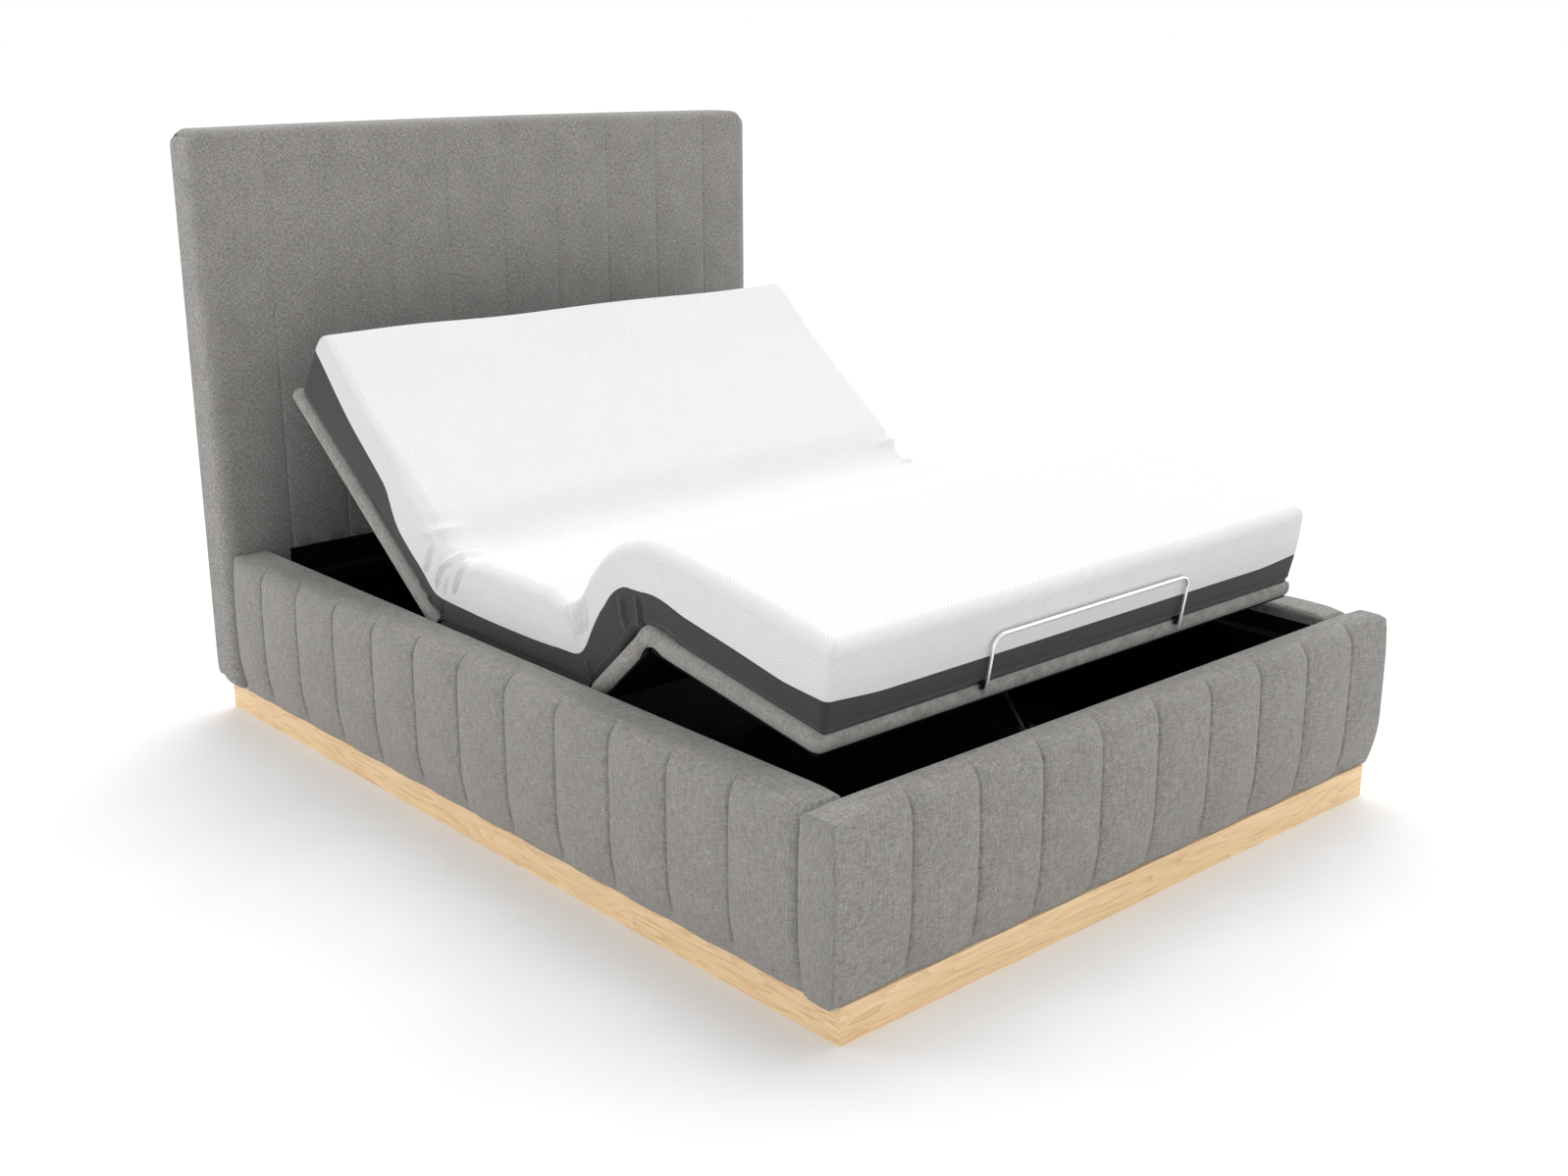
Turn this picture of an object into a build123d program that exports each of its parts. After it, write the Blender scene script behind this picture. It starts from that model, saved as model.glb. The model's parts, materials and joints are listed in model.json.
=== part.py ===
from build123d import *
import math
import os

# Adjustable double bed: upholstered surround with a channelled headboard on an
# oak plinth, and a four-section folding deck with its lift mechanism inside.
# Millimetres. +Z up, head end at +Y, foot end at -Y, origin under the middle of
# the bed. The back and knee are modelled raised, which is the rest position.

os.makedirs("parts", exist_ok=True)

# ------------------------------------------------------------ driving dimensions
HALF_W = 834.0          # surround, half width
FOOT_Y = -1117.0        # outside of the foot rail
HEAD_Y = 1117.0         # back of the headboard
BED_H = 1416.0          # top of the headboard
RAIL_TOP = 415.0
RAIL_T = 89.0           # foot rail thickness
SIDE_T = 111.5          # side rail thickness
RAIL_IN = HALF_W - SIDE_T
FOOT_IN = FOOT_Y + RAIL_T
BOARD_FRONT = 1007.0    # front of the headboard
FOAM = 25.0             # foam on the outside of the rails
PLY = 12.0

PLINTH_H = 72.0
PLINTH_HALF_W = 801.0
PLINTH_FOOT = -1100.0
PLINTH_HEAD = 1108.0
PLINTH_T = 25.0

PIVOT_Z = 397.2         # hinge pins of the seat panel
BACK_Y = 271.3          # back hinge
THIGH_Y = -285.1        # thigh hinge
BACK_DEG = 37.2         # back raised by this much at rest
THIGH_DEG = 42.5        # thigh raised by this much at rest
LEG_DEG = 9.5           # leg section slopes down towards the foot at rest
BACK_MAX = 60.0
THIGH_MAX = 45.0
BACK_L = 726.0
THIGH_L = 240.1
LEG_L = 488.7

DECK_HALF_W = 708.0     # padded panel
PANEL_HALF_W = 700.0    # plywood inside it
PAD_UP = 9.0            # pad top above the hinge pin
PLY_TOP = -1.0
PLY_LOW = -16.0
DECK_LOW = -37.0        # underside of the panel below the hinge pin
END_GAP = 5.5           # panel end to hinge pin
MITRE = math.tan(math.radians(28.0))

MAT_HALF_W = 700.0
MAT_UP = 177.0          # mattress top above the hinge pin
MAT_HEAD = 712.0        # mattress head end along the back
MAT_FOOT = 484.0        # mattress foot end along the leg section
CUT_BACK = math.tan(math.radians(BACK_MAX / 2 + 0.4))
CUT_THIGH = math.tan(math.radians(THIGH_MAX / 2 + 0.4))

HINGE_X = (-450.0, 0.0, 450.0)
HINGE_W = 120.0
KNUCKLE_R = 4.0
PIN_R = 2.0

LEVER_A = 110.0         # lever radius about the hinge pin
ROLLER_R = 14.0
BACK_GAP = 1.4          # push nose to roller at rest
THIGH_GAP = 0.6
DRIVE_X = 160.0
ROD_Z = 293.0
ROD_R = 8.0

PROP_U, PROP_V = 180.0, -58.0
PROP_L = 260.0
PROP_DEG = 50.0
PROP_ROLLER_R = 12.0
TRACK_TOP = 260.0

BAR_R = 4.0             # retainer wire
BAR_X = 292.0
BAR_UP = 104.0
BAR_U = LEG_L + 6.2

sb, cb = math.sin(math.radians(BACK_DEG)), math.cos(math.radians(BACK_DEG))
st, ct = math.sin(math.radians(THIGH_DEG)), math.cos(math.radians(THIGH_DEG))
sl, cl = math.sin(math.radians(LEG_DEG)), math.cos(math.radians(LEG_DEG))
KNEE_Y = THIGH_Y - THIGH_L * ct
KNEE_Z = PIVOT_Z + THIGH_L * st


def S(y, v):
    """Seat panel: y along the bed, v above the hinge pins."""
    return (y, PIVOT_Z + v)


def B(u, v):
    """Back panel: u from the back hinge towards the head, v off the panel."""
    return (BACK_Y + u * cb - v * sb, PIVOT_Z + u * sb + v * cb)


def T(u, v):
    """Thigh panel: u from the thigh hinge towards the knee."""
    return (THIGH_Y - u * ct + v * st, PIVOT_Z + u * st + v * ct)


def L(u, v):
    """Leg panel: u from the knee towards the foot."""
    return (KNEE_Y - u * cl - v * sl, KNEE_Z - u * sl + v * cl)


# ------------------------------------------------------------------ oak plinth
with BuildPart() as plinth_end_boards:
    with BuildSketch(Plane.XY):
        with BuildLine():
            Polyline((-PLINTH_HALF_W, PLINTH_FOOT), (PLINTH_HALF_W, PLINTH_FOOT),
                     (PLINTH_HALF_W - PLINTH_T, PLINTH_FOOT + PLINTH_T),
                     (-PLINTH_HALF_W + PLINTH_T, PLINTH_FOOT + PLINTH_T), close=True)
        make_face()
        with BuildLine():
            Polyline((-PLINTH_HALF_W, PLINTH_HEAD), (PLINTH_HALF_W, PLINTH_HEAD),
                     (PLINTH_HALF_W - PLINTH_T, PLINTH_HEAD - PLINTH_T),
                     (-PLINTH_HALF_W + PLINTH_T, PLINTH_HEAD - PLINTH_T), close=True)
        make_face()
    extrude(amount=PLINTH_H)
plinth_end_boards.part.label = "plinth_end_boards"
export_step(plinth_end_boards.part, "parts/plinth_end_boards.step")

with BuildPart() as plinth_side_boards:
    with BuildSketch(Plane.XY):
        for s in (-1, 1):
            with BuildLine():
                Polyline((s * PLINTH_HALF_W, PLINTH_FOOT), (s * PLINTH_HALF_W, PLINTH_HEAD),
                         (s * (PLINTH_HALF_W - PLINTH_T), PLINTH_HEAD - PLINTH_T),
                         (s * (PLINTH_HALF_W - PLINTH_T), PLINTH_FOOT + PLINTH_T), close=True)
            make_face()
    extrude(amount=PLINTH_H)
plinth_side_boards.part.label = "plinth_side_boards"
export_step(plinth_side_boards.part, "parts/plinth_side_boards.step")

# black board that closes the bottom of the surround
with BuildPart() as base_panel:
    with BuildSketch(Plane.XY.offset(PLINTH_H - 6)):
        with Locations((0, (PLINTH_FOOT + PLINTH_HEAD) / 2)):
            Rectangle(2 * (PLINTH_HALF_W - PLINTH_T) - 0.6, PLINTH_HEAD - PLINTH_FOOT - 2 * PLINTH_T - 0.6)
    extrude(amount=6)
base_panel.part.label = "base_panel"
export_step(base_panel.part, "parts/base_panel.step")

# --------------------------------------------------------------- rail carcasses
RAIL_CORE_TOP = RAIL_TOP - 25.0
LIP_Z = RAIL_TOP - 28.0
RAIL_Y0, RAIL_Y1 = FOOT_IN, BOARD_FRONT
RAIL_LEN = RAIL_Y1 - RAIL_Y0
RAIL_MID = (RAIL_Y0 + RAIL_Y1) / 2
CORE_OUT = HALF_W - FOAM

with BuildPart() as side_rail_frames:
    for s in (-1, 1):
        with BuildSketch(Plane.XY.offset(PLINTH_H)):
            with Locations((s * (RAIL_IN + PLY / 2), RAIL_MID)):
                Rectangle(PLY, RAIL_LEN)
        extrude(amount=LIP_Z - PLINTH_H)
        with BuildSketch(Plane.XY.offset(PLINTH_H)):
            with Locations((s * (CORE_OUT - PLY / 2), RAIL_MID)):
                Rectangle(PLY, RAIL_LEN)
        extrude(amount=RAIL_CORE_TOP - PLINTH_H)
        with BuildSketch(Plane.XY.offset(PLINTH_H)):
            with Locations((s * (RAIL_IN + CORE_OUT) / 2, RAIL_MID)):
                Rectangle(CORE_OUT - RAIL_IN - 2 * PLY - 0.4, RAIL_LEN)
        extrude(amount=60)
        with BuildSketch(Plane.XY.offset(LIP_Z - 60)):
            with Locations((s * (RAIL_IN + CORE_OUT) / 2, RAIL_MID)):
                Rectangle(CORE_OUT - RAIL_IN - 2 * PLY - 0.4, RAIL_LEN)
        extrude(amount=60)
side_rail_frames.part.label = "side_rail_frames"
export_step(side_rail_frames.part, "parts/side_rail_frames.step")

FOOT_CORE = FOOT_Y + FOAM
with BuildPart() as foot_rail_frame:
    with BuildSketch(Plane.XY.offset(PLINTH_H)):
        with Locations((0, FOOT_IN - PLY / 2)):
            Rectangle(2 * CORE_OUT, PLY)
    extrude(amount=LIP_Z - PLINTH_H)
    with BuildSketch(Plane.XY.offset(PLINTH_H)):
        with Locations((0, FOOT_CORE + PLY / 2)):
            Rectangle(2 * CORE_OUT, PLY)
    extrude(amount=RAIL_CORE_TOP - PLINTH_H)
    with BuildSketch(Plane.XY.offset(PLINTH_H)):
        with Locations((0, (FOOT_IN + FOOT_CORE) / 2)):
            Rectangle(2 * CORE_OUT, FOOT_IN - FOOT_CORE - 2 * PLY - 0.4)
    extrude(amount=60)
    with BuildSketch(Plane.XY.offset(LIP_Z - 60)):
        with Locations((0, (FOOT_IN + FOOT_CORE) / 2)):
            Rectangle(2 * CORE_OUT, FOOT_IN - FOOT_CORE - 2 * PLY - 0.4)
    extrude(amount=60)
foot_rail_frame.part.label = "foot_rail_frame"
export_step(foot_rail_frame.part, "parts/foot_rail_frame.step")

# ----------------------------------------------------------- rail upholstery
# The padding covers the outside and the top and turns 28 mm down the inside.
RAIL_SECTION = [(0.0, LIP_Z), (0.0, RAIL_TOP), (SIDE_T, RAIL_TOP), (SIDE_T, 290.0), (SIDE_T - 4, 160.0),
                (SIDE_T - 18, PLINTH_H), (SIDE_T - FOAM, PLINTH_H), (SIDE_T - FOAM, RAIL_CORE_TOP),
                (PLY, RAIL_CORE_TOP), (PLY, LIP_Z)]
RAIL_RADII = [0, 13, 42, 200, 150, 4, 0, 0, 0, 0]

with BuildPart() as right_rail_pad:
    with BuildSketch(Plane.XZ.offset(-RAIL_Y1)):
        with BuildLine():
            FilletPolyline(*[(RAIL_IN + a, z) for a, z in RAIL_SECTION], radius=RAIL_RADII, close=True)
        make_face()
    extrude(amount=RAIL_LEN)
right_rail_pad.part.label = "right_rail_pad"
export_step(right_rail_pad.part, "parts/right_rail_pad.step")

with BuildPart() as left_rail_pad:
    with BuildSketch(Plane.XZ.offset(-RAIL_Y1)):
        with BuildLine():
            FilletPolyline(*[(-RAIL_IN - a, z) for a, z in RAIL_SECTION], radius=RAIL_RADII, close=True)
        make_face()
    extrude(amount=RAIL_LEN)
left_rail_pad.part.label = "left_rail_pad"
export_step(left_rail_pad.part, "parts/left_rail_pad.step")

FOOT_SECTION = [(FOOT_IN, PLINTH_H), (FOOT_IN, RAIL_TOP), (FOOT_Y, RAIL_TOP), (FOOT_Y, 290.0), (FOOT_Y + 4, 160.0),
                (FOOT_Y + 16, PLINTH_H)]
with BuildPart() as foot_rail_pad:
    with BuildSketch(Plane.YZ.offset(-HALF_W)):
        with BuildLine():
            FilletPolyline(*FOOT_SECTION, radius=[0, 13, 42, 200, 150, 9], close=True)
        make_face()
    extrude(amount=2 * HALF_W)
    fillet(foot_rail_pad.faces().sort_by(Axis.X)[0].edges(), radius=7)
    fillet(foot_rail_pad.faces().sort_by(Axis.X)[-1].edges(), radius=7)
    with BuildSketch(Plane.YZ.offset(-CORE_OUT)):
        with BuildLine():
            Polyline((FOOT_CORE, PLINTH_H - 5), (FOOT_CORE, RAIL_CORE_TOP), (FOOT_IN - PLY, RAIL_CORE_TOP),
                     (FOOT_IN - PLY, LIP_Z), (FOOT_IN + 5, LIP_Z), (FOOT_IN + 5, PLINTH_H - 5), close=True)
        make_face()
    extrude(amount=2 * CORE_OUT, mode=Mode.SUBTRACT)
foot_rail_pad.part.label = "foot_rail_pad"
export_step(foot_rail_pad.part, "parts/foot_rail_pad.step")

# ------------------------------------------------------------------ headboard
HB_EDGE = 28.0
HB_PANEL = 1045.0
HB_BACK = HEAD_Y - 3.0
with BuildPart() as headboard_frame:
    with BuildSketch(Plane.XZ.offset(-HB_PANEL)):
        with Locations((0, (PLINTH_H + BED_H - HB_EDGE) / 2)):
            Rectangle(2 * (HALF_W - HB_EDGE), BED_H - HB_EDGE - PLINTH_H)
    extrude(amount=-18)
    with BuildSketch(Plane.XZ.offset(-HB_PANEL - 18.2)):
        with Locations((0, (PLINTH_H + BED_H - HB_EDGE) / 2)):
            with GridLocations(385, 1, 5, 1):
                Rectangle(60, BED_H - HB_EDGE - PLINTH_H)
    extrude(amount=-(HB_BACK - 6.2 - HB_PANEL - 18.2))
    with BuildSketch(Plane.XZ.offset(-HB_BACK + 6)):
        with Locations((0, (PLINTH_H + BED_H - HB_EDGE) / 2)):
            Rectangle(2 * (HALF_W - HB_EDGE), BED_H - HB_EDGE - PLINTH_H)
    extrude(amount=-6)
headboard_frame.part.label = "headboard_frame"
export_step(headboard_frame.part, "parts/headboard_frame.step")

LINING_HALF_W = 667.0
LINING_TOP = 408.0
with BuildPart() as headboard_pad:
    with BuildSketch(Plane.XZ.offset(-BOARD_FRONT)):
        with Locations((0, (PLINTH_H + BED_H) / 2)):
            Rectangle(2 * HALF_W, BED_H - PLINTH_H)
    extrude(amount=-(HB_BACK - BOARD_FRONT))
    fillet(headboard_pad.edges().filter_by(Axis.Y).group_by(Axis.Z)[-1], radius=26)
    fillet(headboard_pad.edges().group_by(Axis.Y)[0].filter_by(lambda e: e.center().Z > PLINTH_H + 1), radius=20)
    with BuildSketch(Plane.XZ.offset(-HB_PANEL)):
        with Locations((0, (BED_H - HB_EDGE) / 2)):
            Rectangle(2 * (HALF_W - HB_EDGE), BED_H - HB_EDGE)
    extrude(amount=-200, mode=Mode.SUBTRACT)
    with BuildSketch(Plane.XZ.offset(-BOARD_FRONT - 3)):
        with Locations((0, LINING_TOP / 2)):
            Rectangle(2 * LINING_HALF_W, LINING_TOP)
    extrude(amount=20, mode=Mode.SUBTRACT)
headboard_pad.part.label = "headboard_pad"
export_step(headboard_pad.part, "parts/headboard_pad.step")

with BuildPart() as headboard_lining:
    with BuildSketch(Plane.XZ.offset(-BOARD_FRONT)):
        with Locations((0, (PLINTH_H + LINING_TOP) / 2)):
            Rectangle(2 * LINING_HALF_W - 0.4, LINING_TOP - PLINTH_H - 0.4)
    extrude(amount=-3)
headboard_lining.part.label = "headboard_lining"
export_step(headboard_lining.part, "parts/headboard_lining.step")

with BuildPart() as headboard_back_cover:
    with BuildSketch(Plane.XZ.offset(-HB_BACK)):
        with Locations((0, (PLINTH_H + BED_H) / 2)):
            RectangleRounded(2 * HALF_W - 4, BED_H - PLINTH_H - 4, 24)
    extrude(amount=-(HEAD_Y - HB_BACK))
headboard_back_cover.part.label = "headboard_back_cover"
export_step(headboard_back_cover.part, "parts/headboard_back_cover.step")

# ------------------------------------------------------------ corner hardware
with BuildPart() as corner_brackets:
    with BuildSketch(Plane.XY.offset(100)):
        for s in (-1, 1):
            with BuildLine():
                Polyline((s * RAIL_IN, BOARD_FRONT), (s * RAIL_IN, BOARD_FRONT - 60), (s * (RAIL_IN - 5), BOARD_FRONT - 60),
                         (s * (RAIL_IN - 5), BOARD_FRONT - 5), (s * (RAIL_IN - 60), BOARD_FRONT - 5),
                         (s * (RAIL_IN - 60), BOARD_FRONT), close=True)
            make_face()
            with BuildLine():
                Polyline((s * RAIL_IN, FOOT_IN), (s * RAIL_IN, FOOT_IN + 60), (s * (RAIL_IN - 5), FOOT_IN + 60),
                         (s * (RAIL_IN - 5), FOOT_IN + 5), (s * (RAIL_IN - 60), FOOT_IN + 5),
                         (s * (RAIL_IN - 60), FOOT_IN), close=True)
            make_face()
    extrude(amount=140)
corner_brackets.part.label = "corner_brackets"
export_step(corner_brackets.part, "parts/corner_brackets.step")

with BuildPart() as corner_bolts:
    for s in (-1, 1):
        with BuildSketch(Plane.YZ.offset(s * (RAIL_IN - 5))):
            with Locations((BOARD_FRONT - 38, 135), (BOARD_FRONT - 38, 205), (FOOT_IN + 38, 135), (FOOT_IN + 38, 205)):
                RegularPolygon(8, 6)
        extrude(amount=-s * 6)
        with BuildSketch(Plane.XZ.offset(-(BOARD_FRONT - 5))):
            with Locations((s * (RAIL_IN - 38), 135), (s * (RAIL_IN - 38), 205)):
                RegularPolygon(8, 6)
        extrude(amount=6)
        with BuildSketch(Plane.XZ.offset(-(FOOT_IN + 5))):
            with Locations((s * (RAIL_IN - 38), 135), (s * (RAIL_IN - 38), 205)):
                RegularPolygon(8, 6)
        extrude(amount=-6)
corner_bolts.part.label = "corner_bolts"
export_step(corner_bolts.part, "parts/corner_bolts.step")

# ---------------------------------------------------------- black steel frame
TUBE_X0, TUBE_X1 = 674.0, 714.0
TUBE_Z0, TUBE_Z1 = 311.0, 355.0
with BuildPart() as frame_support_angles:
    with BuildSketch(Plane.XZ.offset(-980)):
        for s in (-1, 1):
            with BuildLine():
                Polyline((s * RAIL_IN, TUBE_Z0), (s * RAIL_IN, TUBE_Z0 - 60), (s * (RAIL_IN - 4), TUBE_Z0 - 60),
                         (s * (RAIL_IN - 4), TUBE_Z0 - 4), (s * 669, TUBE_Z0 - 4), (s * 669, TUBE_Z0), close=True)
            make_face()
    extrude(amount=1980)
frame_support_angles.part.label = "frame_support_angles"
export_step(frame_support_angles.part, "parts/frame_support_angles.step")

with BuildPart() as frame_side_tubes:
    with BuildSketch(Plane.XZ.offset(-985)):
        with Locations((-(TUBE_X0 + TUBE_X1) / 2, (TUBE_Z0 + TUBE_Z1) / 2), ((TUBE_X0 + TUBE_X1) / 2, (TUBE_Z0 + TUBE_Z1) / 2)):
            RectangleRounded(TUBE_X1 - TUBE_X0, TUBE_Z1 - TUBE_Z0, 4)
            Rectangle(TUBE_X1 - TUBE_X0 - 5, TUBE_Z1 - TUBE_Z0 - 5, mode=Mode.SUBTRACT)
    extrude(amount=1999)
frame_side_tubes.part.label = "frame_side_tubes"
export_step(frame_side_tubes.part, "parts/frame_side_tubes.step")

SEAT_TUBES = (-100.0, 90.0)
LOW_TUBES = (-994.0, -600.0, 965.0)
SEAT_UNDER = PIVOT_Z + DECK_LOW
with BuildPart() as frame_cross_tubes:
    with BuildSketch(Plane.YZ.offset(-TUBE_X0)):
        for y in SEAT_TUBES:
            with Locations((y, SEAT_UNDER - 20)):
                RectangleRounded(40, 40, 4)
                Rectangle(35, 35, mode=Mode.SUBTRACT)
        for y in LOW_TUBES:
            with Locations((y, 333)):
                RectangleRounded(40, 40, 4)
                Rectangle(35, 35, mode=Mode.SUBTRACT)
    extrude(amount=2 * TUBE_X0)
frame_cross_tubes.part.label = "frame_cross_tubes"
export_step(frame_cross_tubes.part, "parts/frame_cross_tubes.step")

# ------------------------------------------------------------- section panels
# Plywood top with a pocket for each hinge leaf.
LEAF_U = 40.0
with BuildPart() as seat_panel:
    with BuildSketch(Plane.YZ.offset(-PANEL_HALF_W)):
        with BuildLine():
            Polyline(S(THIGH_Y + END_GAP, PLY_LOW), S(BACK_Y - END_GAP, PLY_LOW), S(BACK_Y - END_GAP, PLY_TOP),
                     S(THIGH_Y + END_GAP, PLY_TOP), close=True)
        make_face()
    extrude(amount=2 * PANEL_HALF_W)
    for x in HINGE_X:
        with BuildSketch(Plane.YZ.offset(x - HINGE_W / 2 - 0.3)):
            with BuildLine():
                Polyline(S(BACK_Y - LEAF_U - 0.3, PLY_TOP - 2), S(BACK_Y, PLY_TOP - 2), S(BACK_Y, 3),
                         S(BACK_Y - LEAF_U - 0.3, 3), close=True)
            make_face()
            with BuildLine():
                Polyline(S(THIGH_Y + LEAF_U + 0.3, PLY_TOP - 2), S(THIGH_Y, PLY_TOP - 2), S(THIGH_Y, 3),
                         S(THIGH_Y + LEAF_U + 0.3, 3), close=True)
            make_face()
        extrude(amount=HINGE_W + 0.6, mode=Mode.SUBTRACT)
seat_panel.part.label = "seat_panel"
export_step(seat_panel.part, "parts/seat_panel.step")

with BuildPart() as back_panel:
    with BuildSketch(Plane.YZ.offset(-PANEL_HALF_W)):
        with BuildLine():
            Polyline(B(END_GAP, PLY_LOW), B(BACK_L - 8, PLY_LOW), B(BACK_L - 8, PLY_TOP), B(END_GAP, PLY_TOP), close=True)
        make_face()
    extrude(amount=2 * PANEL_HALF_W)
    for x in HINGE_X:
        with BuildSketch(Plane.YZ.offset(x - HINGE_W / 2 - 0.3)):
            with BuildLine():
                Polyline(B(0, PLY_TOP - 2), B(LEAF_U + 0.3, PLY_TOP - 2), B(LEAF_U + 0.3, 3), B(0, 3), close=True)
            make_face()
        extrude(amount=HINGE_W + 0.6, mode=Mode.SUBTRACT)
back_panel.part.label = "back_panel"
export_step(back_panel.part, "parts/back_panel.step")

KNEE_END = THIGH_L - END_GAP
with BuildPart() as thigh_panel:
    with BuildSketch(Plane.YZ.offset(-PANEL_HALF_W)):
        with BuildLine():
            Polyline(T(END_GAP, PLY_LOW), T(KNEE_END + MITRE * (PLY_LOW - PLY_TOP), PLY_LOW), T(KNEE_END, PLY_TOP),
                     T(END_GAP, PLY_TOP), close=True)
        make_face()
    extrude(amount=2 * PANEL_HALF_W)
    for x in HINGE_X:
        with BuildSketch(Plane.YZ.offset(x - HINGE_W / 2 - 0.3)):
            with BuildLine():
                Polyline(T(0, PLY_TOP - 2), T(LEAF_U + 0.3, PLY_TOP - 2), T(LEAF_U + 0.3, 3), T(0, 3), close=True)
            make_face()
            with BuildLine():
                Polyline(T(THIGH_L, PLY_TOP - 2), T(THIGH_L - LEAF_U - 0.3, PLY_TOP - 2), T(THIGH_L - LEAF_U - 0.3, 3),
                         T(THIGH_L, 3), close=True)
            make_face()
        extrude(amount=HINGE_W + 0.6, mode=Mode.SUBTRACT)
thigh_panel.part.label = "thigh_panel"
export_step(thigh_panel.part, "parts/thigh_panel.step")

with BuildPart() as leg_panel:
    with BuildSketch(Plane.YZ.offset(-PANEL_HALF_W)):
        with BuildLine():
            Polyline(L(END_GAP - MITRE * (PLY_LOW - PLY_TOP), PLY_LOW), L(LEG_L - 8, PLY_LOW), L(LEG_L - 8, PLY_TOP),
                     L(END_GAP, PLY_TOP), close=True)
        make_face()
    extrude(amount=2 * PANEL_HALF_W)
    for x in HINGE_X:
        with BuildSketch(Plane.YZ.offset(x - HINGE_W / 2 - 0.3)):
            with BuildLine():
                Polyline(L(0, PLY_TOP - 2), L(LEAF_U + 0.3, PLY_TOP - 2), L(LEAF_U + 0.3, 3), L(0, 3), close=True)
            make_face()
        extrude(amount=HINGE_W + 0.6, mode=Mode.SUBTRACT)
leg_panel.part.label = "leg_panel"
export_step(leg_panel.part, "parts/leg_panel.step")

# Softwood battens under each plywood top: three along it, four across.
BATTEN_X = ((-700.0, -640.0), (-30.0, 30.0), (640.0, 700.0))
CROSS_X = ((-639.8, -30.2), (30.2, 639.8))
with BuildPart() as seat_battens:
    for x0, x1 in BATTEN_X:
        with BuildSketch(Plane.YZ.offset(x0)):
            with BuildLine():
                Polyline(S(THIGH_Y + END_GAP, DECK_LOW), S(BACK_Y - END_GAP, DECK_LOW), S(BACK_Y - END_GAP, PLY_LOW),
                         S(THIGH_Y + END_GAP, PLY_LOW), close=True)
            make_face()
        extrude(amount=x1 - x0)
    for x0, x1 in CROSS_X:
        with BuildSketch(Plane.YZ.offset(x0)):
            with BuildLine():
                Polyline(S(THIGH_Y + END_GAP, DECK_LOW), S(THIGH_Y + 75, DECK_LOW), S(THIGH_Y + 75, PLY_LOW),
                         S(THIGH_Y + END_GAP, PLY_LOW), close=True)
            make_face()
            with BuildLine():
                Polyline(S(BACK_Y - 75, DECK_LOW), S(BACK_Y - END_GAP, DECK_LOW), S(BACK_Y - END_GAP, PLY_LOW),
                         S(BACK_Y - 75, PLY_LOW), close=True)
            make_face()
        extrude(amount=x1 - x0)
seat_battens.part.label = "seat_battens"
export_step(seat_battens.part, "parts/seat_battens.step")

with BuildPart() as back_battens:
    for x0, x1 in BATTEN_X:
        with BuildSketch(Plane.YZ.offset(x0)):
            with BuildLine():
                Polyline(B(END_GAP, DECK_LOW), B(BACK_L - 8, DECK_LOW), B(BACK_L - 8, PLY_LOW), B(END_GAP, PLY_LOW), close=True)
            make_face()
        extrude(amount=x1 - x0)
    for x0, x1 in CROSS_X:
        with BuildSketch(Plane.YZ.offset(x0)):
            with BuildLine():
                Polyline(B(END_GAP, DECK_LOW), B(105, DECK_LOW), B(105, PLY_LOW), B(END_GAP, PLY_LOW), close=True)
            make_face()
            with BuildLine():
                Polyline(B(BACK_L - 68, DECK_LOW), B(BACK_L - 8, DECK_LOW), B(BACK_L - 8, PLY_LOW), B(BACK_L - 68, PLY_LOW), close=True)
            make_face()
        extrude(amount=x1 - x0)
back_battens.part.label = "back_battens"
export_step(back_battens.part, "parts/back_battens.step")

KNEE_BATTEN = KNEE_END + MITRE * (DECK_LOW - PLY_TOP)
KNEE_PLY = KNEE_END + MITRE * (PLY_LOW - PLY_TOP)
with BuildPart() as thigh_battens:
    for x0, x1 in BATTEN_X:
        with BuildSketch(Plane.YZ.offset(x0)):
            with BuildLine():
                Polyline(T(END_GAP, DECK_LOW), T(KNEE_BATTEN, DECK_LOW), T(KNEE_PLY, PLY_LOW), T(END_GAP, PLY_LOW), close=True)
            make_face()
        extrude(amount=x1 - x0)
    for x0, x1 in CROSS_X:
        with BuildSketch(Plane.YZ.offset(x0)):
            with BuildLine():
                Polyline(T(END_GAP, DECK_LOW), T(105, DECK_LOW), T(105, PLY_LOW), T(END_GAP, PLY_LOW), close=True)
            make_face()
            with BuildLine():
                Polyline(T(KNEE_BATTEN - 40, DECK_LOW), T(KNEE_BATTEN, DECK_LOW), T(KNEE_PLY, PLY_LOW),
                         T(KNEE_BATTEN - 40, PLY_LOW), close=True)
            make_face()
        extrude(amount=x1 - x0)
thigh_battens.part.label = "thigh_battens"
export_step(thigh_battens.part, "parts/thigh_battens.step")

LEG_BATTEN = END_GAP - MITRE * (DECK_LOW - PLY_TOP)
LEG_PLY = END_GAP - MITRE * (PLY_LOW - PLY_TOP)
with BuildPart() as leg_battens:
    for x0, x1 in BATTEN_X:
        with BuildSketch(Plane.YZ.offset(x0)):
            with BuildLine():
                Polyline(L(LEG_BATTEN, DECK_LOW), L(LEG_L - 8, DECK_LOW), L(LEG_L - 8, PLY_LOW), L(LEG_PLY, PLY_LOW), close=True)
            make_face()
        extrude(amount=x1 - x0)
    for x0, x1 in CROSS_X:
        with BuildSketch(Plane.YZ.offset(x0)):
            with BuildLine():
                Polyline(L(LEG_BATTEN, DECK_LOW), L(LEG_BATTEN + 55, DECK_LOW), L(LEG_BATTEN + 55, PLY_LOW), L(LEG_PLY, PLY_LOW), close=True)
            make_face()
            with BuildLine():
                Polyline(L(LEG_L - 68, DECK_LOW), L(LEG_L - 8, DECK_LOW), L(LEG_L - 8, PLY_LOW), L(LEG_L - 68, PLY_LOW), close=True)
            make_face()
        extrude(amount=x1 - x0)
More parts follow.
